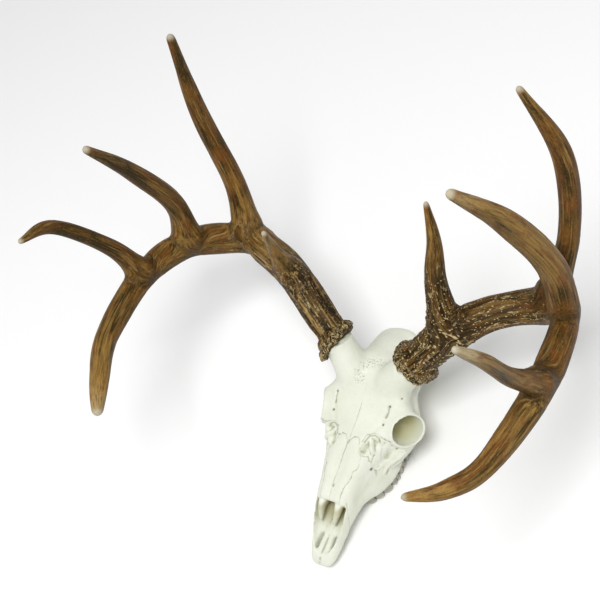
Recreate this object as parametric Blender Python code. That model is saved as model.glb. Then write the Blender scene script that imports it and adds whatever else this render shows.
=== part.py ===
"""White-tailed deer skull with its antlers, life size, lying on its cheek teeth.

Every size below is in millimetres in the skull's own frame: X to the deer's left,
Y backwards from the tip of the muzzle, Z up from the floor that the cheek teeth and
the paroccipital processes rest on. Meshes are turned into metres as they are made,
with the origin under the middle of the whole object's box.
"""

import math

import bmesh
import bpy
import numpy as np
from mathutils import Matrix, Vector

MM = 0.001
ORIGIN = (-1.5, 208.9, 0.0)  # middle of the object's footprint, in the skull's frame
GAP = 0.3                    # left between neighbouring bones

# ---------------------------------------------------------------- skull sizes
SKULL_VOXEL = 2.0            # fineness at which the skull's forms are fused
SKULL_BLEND = 10             # smoothing passes that round one form into the next
SKULL_FACES = 1600           # triangles of the whole skull before it is parted

# Stations along Y: y, half width, top, widest level, bottom, squareness above and below
FACE = [
    (67, 21, 58.5, 46, 36, 3.0, 2.0),
    (80, 24.5, 63.5, 46, 34, 3.0, 2.0),
    (100, 27.5, 70, 50, 34, 3.0, 2.0),
    (120, 32, 76, 55, 34, 3.0, 2.0),
    (138, 39.5, 82, 60, 36, 3.0, 2.0),
    (152, 49, 86.5, 65, 38, 3.2, 2.0),
    (165, 56.5, 91, 70, 42, 3.4, 2.2),
    (178, 60, 96, 76, 46, 3.4, 2.2),
    (189, 61.5, 101, 81, 48, 3.2, 2.2),
    (199, 57, 105.5, 82, 46, 3.0, 2.0),
    (209, 49, 109, 80, 42, 2.8, 2.0),
    (222, 41, 111.5, 78, 38, 2.4, 2.0),
    (238, 35, 111.5, 76, 34, 2.2, 2.0),
]
JAW = [
    (60, 22, 48, 34, 17, 2.8, 2.4),
    (80, 26, 57, 36, 15, 3.0, 2.6),
    (92, 27.5, 61, 35, 12, 3.0, 3.0),
    (102, 31, 62, 31, 9, 3.0, 4.0),
    (116, 36.8, 63, 28, 7.5, 3.0, 6.0),
    (135, 40.4, 63, 28, 7, 2.8, 8.0),
    (155, 40.1, 62, 28, 7, 2.6, 8.0),
    (172, 38.3, 58, 29, 7.5, 2.4, 7.0),
    (186, 30, 56, 35, 16, 2.0, 3.0),
    (198, 18, 54, 40, 28, 2.0, 2.0),
]
MUZZLE = [
    (-0.5, 10.5, 17, 13.5, 10, 2.4, 2.4),
    (2, 13.8, 19.5, 14, 9, 2.4, 2.4),
    (6, 16.2, 21.5, 15, 8.5, 2.6, 2.6),
    (20, 19.2, 30, 19, 9, 2.8, 2.4),
    (40, 21.8, 42.5, 27, 12, 3.0, 2.4),
    (58, 24, 52, 35, 15, 3.0, 2.6),
    (78, 26.5, 60, 39, 15, 3.2, 2.6),
]
NOSTRIL = [
    (9, 8.0, 46, 34, 22.5, 3.0, 3.0),
    (16, 12.0, 50, 34, 23.0, 3.0, 3.0),
    (24, 15.0, 56, 34, 24.0, 3.0, 3.0),
    (42, 18.3, 68, 38, 26.2, 3.0, 3.0),
    (60, 20.6, 74, 40, 29.0, 3.0, 3.0),
    (67, 20.6, 74, 42, 29.5, 3.0, 3.0),
]
NASAL_PASSAGE = [
    (58, 18.5, 50, 40, 28.5, 2.4, 2.8),
    (74, 18.5, 54, 42, 30, 2.4, 2.8),
    (94, 15.0, 61, 45, 33, 2.2, 2.4),
]

ORBIT_CENTRE = (61, 173, 75)
ORBIT_FACING = (0.85, -0.40, 0.33)
ORBIT_RADIUS = 19.5
ORBIT_DEPTH = 31.0
ORBIT_RIM = 2.5

TOOTH_LENGTHS = (9.5, 10.5, 13, 15.5, 18.5, 17.5)   # second premolar to last molar
TOOTH_FRONT = 92.0
WIDEST_TOOTH = 138.0         # y where the two tooth rows stand furthest apart
TOOTH_ROW_REACH = 40.6
CROWN = 8.0
LEAN = [(0, 0), (30, -1.8), (60, -2.6), (122, -2.6), (150, 0), (180, 1.5), (212, 1.0), (245, 0)]
LEAN_LEVELS = (18, 42)       # nothing moves below the first, all of it above the second

# ------------------------------------------------- sutures, as y, z in side view
UNDER_FLOOR = [(-20, -30), (320, -30), (320, 0), (-20, 0)]
MIDLINE = [-30, 18, 26, 34, 42, 200]   # levels of the cut between left and right bones
FRONTAL_LAYER = [(143, 74), (160, 80), (205, 84), (246, 94), (249, 104), (275, 112), (275, 200), (143, 200)]
NASAL_LAYER = [(50, 46.5), (70, 52.5), (146, 76), (146, 120), (50, 90)]
NASAL_WIDTH = (-17.5, 12.5)
CHEEK = [(147, 30), (221, 30), (221, 95), (147, 95)]
CHEEK_INNER = 40.0
JAW_BACK = [(190, -5), (190.3, -5), (190.3, 100), (190, 100)]
NAPE = [(262, -5), (260, 50), (284, 120)]
MUZZLE_BACK = 57.0
MUZZLE_SUTURE = [(-60, -5), (60, -5), (60, 80), (15, 80), (15, 35), (-15, 35),
                 (-15, 80), (-60, 80)]   # as x, z seen from the front
CRUMB = 20                   # loose bodies with no more corners than this are dropped
BONE_COLOUR = (0.80, 0.79, 0.70)

# --------------------------------------------------------------- antler sizes
# Rows: distance out to the antler's own side, y, z, radius. The beam's rows are the
# burr, the brow fork, a midpoint, the three upper forks, two points and the tip.
ANTLERS = {
    "left": {
        "side": 1, "burr_facing": (0.67, 0.41, 0.62),
        "beam": [(59, 236, 125, 20), (108, 264, 168, 21.5), (156, 295, 185, 18.8),
                 (211, 319, 184, 21.0), (255, 291, 226, 14.8), (272, 202, 247, 15.5),
                 (258, 106, 253, 12), (235, 64, 263, 9.5), (201, 39, 274, 3.6)],
        "brow": (1, [(102, 292, 232, 12.5), (108, 314, 283, 7.9), (108, 331, 332, 3.1)]),
        "second": (3, [(235, 366, 255, 11.4), (240, 398, 350, 10.8), (218.5, 401, 447, 3.8)]),
        "third": (4, [(256, 300, 305, 14.5), (242, 285, 394, 12.6), (226, 252.5, 481, 4.7)]),
        "fourth": (5, [(272, 171, 314, 9.3), (277, 149, 384, 7.4), (275, 129, 439, 3.4)]),
    },
    "right": {
        "side": -1, "burr_facing": (0.85, 0.20, 0.49),
        "beam": [(41.5, 233, 135, 18), (112, 282, 182, 20.3), (165, 306, 191, 20.5),
                 (209, 321, 182, 19.8), (259, 275, 221, 18.6), (271, 205, 248, 16),
                 (260, 114, 259, 14.4), (230, 58, 264, 12), (202, 14, 264, 5.6)],
        "brow": (1, [(112, 280, 219, 10.5), (105, 278, 259, 6), (94, 273, 298, 3)]),
        "second": (3, [(218, 358, 248, 13.3), (234, 387, 347, 11.3), (229, 414, 457, 4.9)]),
        "third": (4, [(244, 287, 295, 12.5), (241, 268, 385, 10.7), (229, 236.5, 469, 4.2)]),
        "fourth": (5, [(268, 197, 320, 10.5), (283, 168, 400, 8.3), (271, 122, 439, 3.3)]),
    },
}
BURR_RADIUS = 27.5
BURR_HEIGHT = 9.0
BURR_TURN = 30.0             # over this length the beam turns square to its own line
PEDICLE_ROOT = (24, 214, 94)
PEDICLE_RADII = ((-0.35, 20), (0.0, 23), (0.55, 20.5), (1.25, 18.5))   # by share of the way up
PAST_FORK = 20.0             # the beam is parted this far beyond each fork
FORK_FLARE = 7.0             # how much a tine widens, at most, where it leaves the beam
FLARE_LENGTH = 16.0
TIP_SHARE = 1.3              # a tip is rounded over this many of its own radii
BEAM_SIDES = 12
TINE_SIDES = 8
RING_STEP = 19.0
STRETCHES = ("base", "lower_beam", "middle_beam", "upper_beam", "beam_end")
BEAM_COLOUR = (0.16, 0.085, 0.038)
TINE_COLOUR = (0.27, 0.15, 0.07)


# ------------------------------------------------------------- general helpers
def curve_through(rows, step):
    """Catmull-Rom curve through rows of any width, sampled about every step along x, y, z."""
    rows = np.asarray(rows, float)
    padded = np.vstack([2 * rows[0] - rows[1], rows, 2 * rows[-1] - rows[-2]])
    samples = []
    marks = []
    for before, start, end, after in zip(padded, padded[1:], padded[2:], padded[3:]):
        marks.append(len(samples))
        count = max(1, round(np.linalg.norm((end - start)[:3]) / step))
        for t in np.arange(count) / count:
            samples.append(0.5 * (2 * start + (end - before) * t
                                  + (2 * before - 5 * start + 4 * end - after) * t ** 2
                                  + (3 * start - before - 3 * end + after) * t ** 3))
    marks.append(len(samples))
    samples.append(rows[-1])
    return np.array(samples), marks


def tangents(path):
    """Unit directions along a path of points."""
    ahead = np.gradient(path, axis=0)
    return ahead / np.linalg.norm(ahead, axis=1)[:, None]


def add_loft(shell, rings):
    """Add a closed skin over rings of equal point counts, in mm."""
    loops = []
    for ring in rings:
        loops.append([shell.verts.new(point) for point in ring])
    sides = len(loops[0])
    for lower, upper in zip(loops, loops[1:]):
        for k in range(sides):
            following = (k + 1) % sides
            shell.faces.new((lower[k], lower[following], upper[following], upper[k]))
    shell.faces.new(loops[0][::-1])
    shell.faces.new(loops[-1])


def add_stations(shell, stations, sides=28, step=7.0):
    """Add a form whose upright sections follow rows of stations along Y."""
    rows = np.asarray(stations, float)
    curve = []
    for start, end in zip(range(len(rows) - 1), range(1, len(rows))):
        count = max(1, round((rows[end, 0] - rows[start, 0]) / step))
        before = rows[max(start - 1, 0)]
        after = rows[min(end + 1, len(rows) - 1)]
        for t in np.arange(count) / count:
            slope_in = 0.5 * (rows[end] - before)
            slope_out = 0.5 * (after - rows[start])
            curve.append((2 * t ** 3 - 3 * t ** 2 + 1) * rows[start] + (t ** 3 - 2 * t ** 2 + t) * slope_in
                         + (3 * t ** 2 - 2 * t ** 3) * rows[end] + (t ** 3 - t ** 2) * slope_out)
    curve.append(rows[-1])
    rings = []
    for y, width, top, middle, bottom, upper, lower in curve:
        ring = []
        for k in range(sides):
            angle = -2 * math.pi * k / sides
            power = 2 / (upper if math.sin(angle) > 0 else lower)
            reach = top - middle if math.sin(angle) > 0 else middle - bottom
            x = width * math.copysign(abs(math.cos(angle)) ** power, math.cos(angle))
            z = middle + reach * math.copysign(abs(math.sin(angle)) ** power, math.sin(angle))
            ring.append((x, y, z))
        rings.append(ring)
    add_loft(shell, rings)


def add_tube(shell, rows, sides=16, step=6.0, flatten=1.0, flat_along=(0, 0, 1)):
    """Add a tube through rows x, y, z, radius; flatten scales it along one direction."""
    curve, _ = curve_through(rows, step)
    add_rings(shell, curve[:, :3], tangents(curve[:, :3]), curve[:, 3], sides, flatten, flat_along)


def add_rings(shell, path, directions, radii, sides, flatten=1.0, flat_along=(0, 0, 1)):
    """Add a tube with one ring at each point of a path, square to the given directions."""
    rings = []
    for point, ahead, radius in zip(path, directions, radii):
        across = np.cross(ahead, flat_along)
        across /= np.linalg.norm(across)
        upward = np.cross(across, ahead)
        ring = []
        for k in range(sides):
            angle = 2 * math.pi * k / sides
            ring.append(point + radius * (math.cos(angle) * across + math.sin(angle) * flatten * upward))
        rings.append(ring)
    add_loft(shell, rings)


def add_ellipsoid(shell, centre, radii, facing=(0, 0, 1), detail=3):
    """Add an ellipsoid whose third radius lies along facing."""
    turn = Vector(facing).to_track_quat("Z", "Y").to_matrix().to_4x4()
    place = Matrix.Translation(centre) @ turn @ Matrix.Diagonal((*radii, 1))
    bmesh.ops.create_icosphere(shell, subdivisions=detail, radius=1, matrix=place)


def mirrored(point, side):
    """The point on the given side of the skull's midplane."""
    return (side * point[0], *point[1:])


def new_object(shell, name):
    """Turn a mesh built in mm into a closed, outward-facing object in metres."""
    bmesh.ops.recalc_face_normals(shell, faces=shell.faces)
    bmesh.ops.transform(shell, verts=shell.verts,
                        matrix=Matrix.Scale(MM, 4) @ Matrix.Translation(-Vector(ORIGIN)))
    mesh = bpy.data.meshes.new(name)
    shell.to_mesh(mesh)
    shell.free()
    made = bpy.data.objects.new(name, mesh)
    bpy.context.scene.collection.objects.link(made)
    return made


def settle(made):
    """Replace an object's mesh by its modifiers' result."""
    graph = bpy.context.evaluated_depsgraph_get()
    mesh = bpy.data.meshes.new_from_object(made.evaluated_get(graph), depsgraph=graph)
    made.modifiers.clear()
    made.data = mesh
    return made


def combine(made, other, operation, self_overlaps=False):
    """Union, difference or intersection with another object, which is then removed."""
    modifier = made.modifiers.new(operation.title(), "BOOLEAN")
    modifier.operation = operation
    modifier.solver = "EXACT"
    modifier.use_self = self_overlaps
    modifier.object = other
    settle(made)
    bpy.data.objects.remove(other)
    return made


def body_numbers(mesh):
    """For each corner of a mesh, a number that all corners of its loose body share."""
    label = np.arange(len(mesh.vertices))
    ends = np.array([edge.vertices[:] for edge in mesh.edges])
    while True:
        lowest = np.minimum(label[ends[:, 0]], label[ends[:, 1]])
        fresh = label.copy()
        np.minimum.at(fresh, ends[:, 0], lowest)
        np.minimum.at(fresh, ends[:, 1], lowest)
        fresh = fresh[fresh]
        if (fresh == label).all():
            return label
        label = fresh


def loose_pieces(made):
    """Each loose body of an object, as an object of its own; crumbs are dropped."""
    pieces = []
    label = body_numbers(made.data)
    corners = np.array([vert.co[:] for vert in made.data.vertices])
    for number in np.unique(label):
        members = np.flatnonzero(label == number)
        if len(members) <= CRUMB:
            continue
        place = {int(corner): k for k, corner in enumerate(members)}
        faces = [[place[v] for v in face.vertices] for face in made.data.polygons
                 if face.vertices[0] in place]
        mesh = bpy.data.meshes.new("piece")
        mesh.from_pydata(corners[members].tolist(), [], faces)
        piece = bpy.data.objects.new("piece", mesh)
        bpy.context.scene.collection.objects.link(piece)
        pieces.append(piece)
    return pieces


def keep_largest(made):
    """Drop what a cut leaves loose beside the main body."""
    pieces = loose_pieces(made)
    main = max(pieces, key=lambda piece: len(piece.data.vertices))
    made.data = main.data
    for piece in pieces:
        bpy.data.objects.remove(piece)
    return made


# -------------------------------------------------------------- skull's forms
def add_orbit_rim(shell, side):
    """The raised ring of bone around an eye socket."""
    facing = Vector(mirrored(ORBIT_FACING, side)).normalized()
    across = facing.cross(Vector((0, 0, 1))).normalized()
    upward = across.cross(facing)
    rings = []
    turns = 28
    for k in range(turns):
        angle = 2 * math.pi * k / turns
        outward = math.cos(angle) * across + math.sin(angle) * upward
        middle = Vector(mirrored(ORBIT_CENTRE, side)) + outward * (ORBIT_RADIUS + 0.7 * ORBIT_RIM)
        ring = []
        for j in range(8):
            roll = 2 * math.pi * j / 8
            ring.append(middle + ORBIT_RIM * (math.cos(roll) * outward + 1.3 * math.sin(roll) * facing))
        rings.append(ring)
    loops = [[shell.verts.new(point) for point in ring] for ring in rings]
    for k in range(turns):
        near, far = loops[k], loops[(k + 1) % turns]
        for j in range(8):
            shell.faces.new((near[j], near[(j + 1) % 8], far[(j + 1) % 8], far[j]))


def add_nasal_tip(shell, side):
    """The pointed front end of a nasal bone."""
    add_tube(shell, [(8 * side, 86, 61.5, 9), (9 * side, 74, 58, 7.5), (10 * side, 66, 55.5, 4.8),
                     (10.5 * side, 60, 53.5, 1.8)], sides=12, flatten=0.45)


def add_orbit_cup(shell, side):
    """The closed bowl of bone behind the rim."""
    facing = Vector(mirrored(ORBIT_FACING, side)).normalized()
    across = facing.cross(Vector((0, 0, 1))).normalized()
    upward = across.cross(facing)
    rings = []
    for depth in (0.0, 0.3, 0.6, 0.8, 0.93, 0.99):
        width = (ORBIT_RADIUS + ORBIT_RIM) * math.sqrt(1 - depth ** 2)
        middle = Vector(mirrored(ORBIT_CENTRE, side)) - facing * depth * (ORBIT_DEPTH + ORBIT_RIM)
        ring = []
        for k in range(28):
            angle = 2 * math.pi * k / 28
            ring.append(middle + width * (math.cos(angle) * across + math.sin(angle) * upward))
        rings.append(ring)
    add_loft(shell, rings)


def add_braincase(shell):
    """Braincase, occiput, skull base and what hangs below them."""
    add_ellipsoid(shell, (0, 250, 69), (37, 45, 39))
    add_ellipsoid(shell, (0, 236, 96), (37, 23, 17))
    add_ellipsoid(shell, (0, 262, 82), (30, 27, 24))
    add_ellipsoid(shell, (0, 280, 58), (35, 13, 34))
    add_tube(shell, [(0, 292, 40, 15), (0, 262, 38, 17), (0, 228, 42, 16), (0, 200, 46, 15),
                     (0, 184, 50, 14)], flatten=0.8)
    for side in (1, -1):
        add_ellipsoid(shell, (13 * side, 289, 38), (9, 9, 13))
        add_ellipsoid(shell, (17 * side, 246, 31), (9, 13, 10))
        add_ellipsoid(shell, (32 * side, 262, 56), (8, 15, 13))
        add_tube(shell, [(27 * side, 270, 50, 9), (21 * side, 274, 26, 6.5), (16 * side, 277, 10, 4.8),
                         (14 * side, 278, -3, 4.4)], flatten=1.5, flat_along=(0, 1, 0))
        add_tube(shell, [(12 * side, 184, 42, 5), (13 * side, 194, 30, 4), (14 * side, 203, 22, 3)],
                 flatten=2.2, flat_along=(0, 1, 1))
    add_tube(shell, [(-33, 263, 78, 5), (-22, 282, 86, 6), (0, 287, 90, 7), (20, 285, 90, 7),
                     (31, 270, 82, 6)])


def add_cheek(shell, side):
    """Cheekbone, zygomatic arch and its root on the braincase."""
    add_tube(shell, [(26 * side, 132, 38, 10), (40 * side, 148, 42, 11), (52 * side, 163, 48, 9),
                     (58 * side, 178, 51, 7), (56 * side, 191, 54, 6.4), (50 * side, 203, 57, 5.8),
                     (42 * side, 215, 58, 5.5), (36 * side, 226, 57, 5.8), (31 * side, 237, 55, 8)],
             flatten=1.25)


def add_pedicle(shell, antler):
    """The bone stump that carries an antler."""
    side = antler["side"]
    root = np.array(mirrored(PEDICLE_ROOT, side))
    top = np.array(mirrored(antler["beam"][0][:3], side))
    rows = []
    for share, radius in PEDICLE_RADII:
        rows.append((*(root + share * (top - root)), radius))
    add_tube(shell, rows, sides=24)


def cut_forms(shell):
    """Every hollow that is taken out of the fused skull."""
    add_stations(shell, NOSTRIL, step=6)
    add_stations(shell, NASAL_PASSAGE, step=6)
    add_ellipsoid(shell, (0, 298, 46), (10, 16, 10))
    add_tube(shell, [(0, 13, 7, 3), (0, 24, 9, 8), (0, 42, 11, 11), (0, 64, 9, 12), (0, 90, 3, 13),
                     (0, 130, 0, 18), (0, 180, 0, 19), (0, 190, 2, 17)], flatten=1.0)
    add_tube(shell, [(0, 176, 26, 8), (0, 190, 26, 10), (0, 206, 22, 11)], flatten=1.0)
    for side in (1, -1):
        facing = Vector(mirrored(ORBIT_FACING, side)).normalized()
        centre = Vector(mirrored(ORBIT_CENTRE, side))
        add_ellipsoid(shell, centre, (ORBIT_RADIUS, ORBIT_RADIUS, ORBIT_DEPTH), facing)
        add_ellipsoid(shell, centre + 13.5 * facing, (ORBIT_RADIUS + 2, ORBIT_RADIUS + 2, 13), facing)
        add_ellipsoid(shell, (52 * side, 223, 76), (11, 15, 12))
        add_tube(shell, [(9.6 * side, 16, 20, 1.6), (10 * side, 27, 22, 2.5), (9 * side, 38, 23, 1.6)],
                 flatten=4, flat_along=(0, 0, 1))
        add_ellipsoid(shell, (25.5 * side, 140, 82.5), (6.5, 10, 7))
    add_ellipsoid(shell, (0, -3, 15), (2.2, 6.5, 20))


def nose_scrolls(shell):
    """Turbinates and vomer seen inside the nose."""
    for side in (1, -1):
        add_tube(shell, [(10 * side, 100, 51, 8), (10.5 * side, 80, 50, 7), (11 * side, 67, 48, 5.8),
                         (11 * side, 59, 45.5, 4.6), (10 * side, 50, 41, 3.0)], flatten=1.3)
    add_tube(shell, [(0, 8, 15, 3.6), (0, 40, 22.5, 4), (0, 57, 26.5, 3.8), (0, 74, 29, 4.2),
                     (0, 100, 33, 8)], flatten=1.3)


def lean_of(y, z):
    """How far the face leans to the left at a place."""
    ys, shifts = np.array(LEAN, float).T
    low, high = LEAN_LEVELS
    share = np.clip((z - low) / (high - low), 0, 1)
    return np.interp(y, ys, shifts) * share * share * (3 - 2 * share)


def lean_over(made):
    """Move the upper part of the face a little sideways."""
    for vert in made.data.vertices:
        _, y, z = np.array(vert.co) / MM + np.array(ORIGIN)
        vert.co.x += lean_of(y, z) * MM


def tooth_row_x(y):
    """Distance of the tooth row's outer face from the midplane."""
    if y < WIDEST_TOOTH:
        return TOOTH_ROW_REACH - 16 * ((WIDEST_TOOTH - y) / 39) ** 2
    return TOOTH_ROW_REACH - 2.5 * ((y - WIDEST_TOOTH) / 36) ** 2


def tooth_row(side):
    """Six cheek teeth as one body: a block that swells at each lobe and narrows between."""
    places = [(TOOTH_FRONT, 0.0)]
    y = TOOTH_FRONT
    for number, length in enumerate(TOOTH_LENGTHS):
        lobes = 1 if number < 3 else 2
        for lobe in range(lobes):
            places.append((y + (lobe + 0.3) * length / lobes, 1.0))
            places.append((y + (lobe + 0.7) * length / lobes, 1.0))
            places.append((y + (lobe + 1) * length / lobes, 0.0 if lobe == lobes - 1 else 0.25))
        y += length
    rings = []
    for y, swell in places:
        outer = tooth_row_x(y) - 1.6 * (1 - swell)
        width = 8.5 + 5.5 * min(1.0, (y - TOOTH_FRONT) / 55.0) - 3.0 * (1 - swell)
        low = -0.6 + 3.4 * (1 - swell)
        inner = outer - width
        ring = [(inner + 1, CROWN + 6), (outer - 0.3 * width, CROWN + 6), (outer, 6.0), (outer - 0.8, low),
                (inner + 0.35 * width, low + 1.2), (inner + 1.5, low)]
        rings.append([(side * x, y, z) for x, z in ring])
    shell = bmesh.new()
    add_loft(shell, rings)
    return new_object(shell, "teeth")


# ---------------------------------------------------------------- whole skull
def fuse(made, voxel):
    """Melt overlapping closed forms into one skin."""
    remesh = made.modifiers.new("Fuse", "REMESH")
    remesh.mode = "VOXEL"
    remesh.voxel_size = voxel * MM
    settle(made)


def fused(fill, name):
    """One skin over every form that a function adds."""
    shell = bmesh.new()
    fill(shell)
    made = new_object(shell, name)
    fuse(made, SKULL_VOXEL)
    return made


def solid_forms(shell):
    """Every form that adds bone."""
    add_stations(shell, FACE)
    add_stations(shell, JAW)
    add_stations(shell, MUZZLE)
    add_braincase(shell)
    for antler in ANTLERS.values():
        side = antler["side"]
        add_cheek(shell, side)
        add_pedicle(shell, antler)
        add_orbit_rim(shell, side)
        add_orbit_cup(shell, side)
        add_nasal_tip(shell, side)


def whole_skull():
    """The skull as one solid, before it is parted into bones."""
    skull = fused(solid_forms, "skull")
    combine(skull, fused(cut_forms, "hollows"), "DIFFERENCE")
    combine(skull, fused(nose_scrolls, "scrolls"), "UNION")
    fuse(skull, SKULL_VOXEL)
    keep_largest(skull)
    smooth = skull.modifiers.new("Round", "SMOOTH")
    smooth.iterations = SKULL_BLEND
    smooth.factor = 0.5
    settle(skull)
    lean_over(skull)
    thin_out(skull, SKULL_FACES / face_count(skull))
    for antler in ANTLERS.values():
        combine(skull, tooth_row(antler["side"]), "UNION")
        combine(skull, burr_seat(antler), "DIFFERENCE")
    return skull


def thin_out(made, ratio):
    """Merge triangles where a surface is nearly flat, down to a share of their number."""
    thin = made.modifiers.new("Thin", "DECIMATE")
    thin.ratio = ratio
    settle(made)


def face_count(made):
    """How many triangles an object's faces come to."""
    return sum(len(face.vertices) - 2 for face in made.data.polygons)


def burr_seat(antler):
    """The space that a burr takes above its pedicle."""
    beam = beam_line(antler)
    shell = bmesh.new()
    start = beam["path"][0]
    ahead = beam["ahead"][0]
    ends = [start - GAP * ahead, start + 3 * BURR_HEIGHT * ahead]
    add_rings(shell, ends, [ahead, ahead], [1.3 * BURR_RADIUS] * 2, 24)
    return new_object(shell, "seat")


# ------------------------------------------------------------- parting the skull
def side_prism(outline, low_x, high_x):
    """A solid with a side-view outline of y, z points, from low_x to high_x."""
    shell = bmesh.new()
    add_loft(shell, [[(x, y, z) for y, z in outline] for x in (low_x, high_x)])
    return new_object(shell, "side_prism")


def front_prism(outline, low_y, high_y):
    """A solid with a front-view outline of x, z points, from low_y to high_y."""
    shell = bmesh.new()
    add_loft(shell, [[(x, y, z) for x, z in outline] for y in (low_y, high_y)])
    return new_object(shell, "front_prism")


def midline_sheet():
    """The thin upright sheet that parts left bones from right ones, leaning as the face does."""
    rings = []
    for y in [-20] + [y for y, _ in LEAN] + [320]:
        left = [(lean_of(y, z) + GAP / 2, y, z) for z in MIDLINE]
        right = [(lean_of(y, z) - GAP / 2, y, z) for z in MIDLINE]
        rings.append(left + right[::-1])
    shell = bmesh.new()
    add_loft(shell, rings)
    return new_object(shell, "midline_sheet")


def thin_shell(made):
    """Turn a solid into the thin skin that parts what is inside it from the rest."""
    wall = made.modifiers.new("Thin", "SOLIDIFY")
    wall.thickness = GAP * MM
    wall.offset = 0
    wall.use_even_offset = True
    return settle(made)


def part_bone(body, cutter, *places):
    """Cut a body, and return its pieces whose boxes have their middles nearest the places."""
    combine(body, cutter, "DIFFERENCE")
    pieces = loose_pieces(body)
    bpy.data.objects.remove(body)
    chosen = []
    for place in places:
        nearest = min(pieces, key=lambda piece: math.dist(box_middle(piece), place))
        pieces.remove(nearest)
        chosen.append(nearest)
    for crumb in pieces:
        bpy.data.objects.remove(crumb)
    return chosen


def box_middle(made):
    """Middle of an object's box, in mm in the skull's frame."""
    corners = np.array([vert.co[:] for vert in made.data.vertices])
    return (corners.min(axis=0) + corners.max(axis=0)) / 2 / MM + np.array(ORIGIN)


def add_skull():
    """Cut the skull along its sutures into named bones."""
    skull = whole_skull()
    frontals, skull = part_bone(skull, thin_shell(side_prism(FRONTAL_LAYER, -90, 90)),
                                (0, 195, 110), (0, 150, 45))
    nasals, skull = part_bone(skull, thin_shell(side_prism(NASAL_LAYER, *NASAL_WIDTH)),
                              (0, 105, 66), (0, 150, 45))
    bones = {}
    for name, low, high in (("left", CHEEK_INNER, 90), ("right", -90, -CHEEK_INNER)):
        place = (math.copysign(56, low + high), 180, 60)
        cheek, skull = part_bone(skull, thin_shell(side_prism(CHEEK, low, high)), place, (0, 150, 45))
        bones["cheekbone_" + name] = cheek
    nape = NAPE + [(y + GAP, z) for y, z in reversed(NAPE)]
    bones["occipital"], skull = part_bone(skull, side_prism(nape, -90, 90), (0, 280, 45), (0, 130, 45))
    bones["braincase"], face = part_bone(skull, side_prism(JAW_BACK, -90, 90), (0, 225, 50), (0, 95, 40))
    premaxillae, maxillae = part_bone(face, front_prism(MUZZLE_SUTURE, MUZZLE_BACK, MUZZLE_BACK + GAP),
                                      (0, 28, 28), (0, 125, 40))
    for name, pair in (("frontal", frontals), ("nasal", nasals), ("premaxilla", premaxillae),
                       ("maxilla", maxillae)):
        _, y, z = box_middle(pair)
        left, right = part_bone(pair, midline_sheet(), (15, y, z), (-15, y, z))
        bones[name + "_left"] = left
        bones[name + "_right"] = right
    for name, bone in bones.items():
        bone.name = name
        combine(bone, side_prism(UNDER_FLOOR, -90, 90), "DIFFERENCE")
        finish(bone, name, BONE_COLOUR, 0.62)


# ------------------------------------------------------------------- antlers
def beam_line(antler):
    """Centre line of the main beam: points, directions, radii and the forks' distances."""
    side = antler["side"]
    line = centre_line([mirrored(row, side) for row in antler["beam"]])
    share = np.clip(1 - line["distance"] / BURR_TURN, 0, 1)[:, None]
    ahead = share * np.array(mirrored(antler["burr_facing"], side)) + (1 - share) * line["ahead"]
    line["ahead"] = ahead / np.linalg.norm(ahead, axis=1)[:, None]
    return line


def centre_line(rows):
    """A finely sampled line through rows, with its length measured along it."""
    curve, marks = curve_through(rows, 3.0)
    path = curve[:, :3]
    steps = np.linalg.norm(np.diff(path, axis=0), axis=1)
    distance = np.concatenate([[0], np.cumsum(steps)])
    return {"path": path, "ahead": tangents(path), "radius": curve[:, 3],
            "distance": distance, "marks": distance[marks]}


def sample_line(line, distances):
    """Points, directions and radii of a line at given distances along it."""
    def column(values):
        return np.column_stack([np.interp(distances, line["distance"], part) for part in values.T])
    ahead = column(line["ahead"])
    ahead /= np.linalg.norm(ahead, axis=1)[:, None]
    return column(line["path"]), ahead, np.interp(distances, line["distance"], line["radius"])


def ring_places(start, end, tip):
    """Distances of a tube's rings, with closer ones over the length of its rounded tip."""
    places = np.linspace(start, end - tip, max(2, round((end - tip - start) / RING_STEP) + 1))
    if tip:
        places = np.concatenate([places, end - tip * np.array([0.6, 0.22, 0.0])])
    return places


def tip_rounding(distances, end, tip):
    """Factor that closes a tube's radius over the length of its tip."""
    left = np.clip((end - distances) / tip, 0, 1)
    return np.sqrt(np.clip(1 - (1 - left) ** 2, 0.12, 1))


def beam_radius(distances, radii):
    """Radius along the beam, with the burr standing out at its foot."""
    rise = np.clip(1 - (distances - BURR_HEIGHT) / 7.0, 0, 1)
    return radii + rise * (BURR_RADIUS - radii)


def add_beam_stretch(shell, line, places, tip=0.0, extra=0.0):
    """Add the beam between the given ring places."""
    path, ahead, radii = sample_line(line, places)
    radii = beam_radius(places, radii)
    if tip:
        radii = radii * tip_rounding(places, line["distance"][-1], tip)
    add_rings(shell, path, ahead, radii + extra, BEAM_SIDES)


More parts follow.
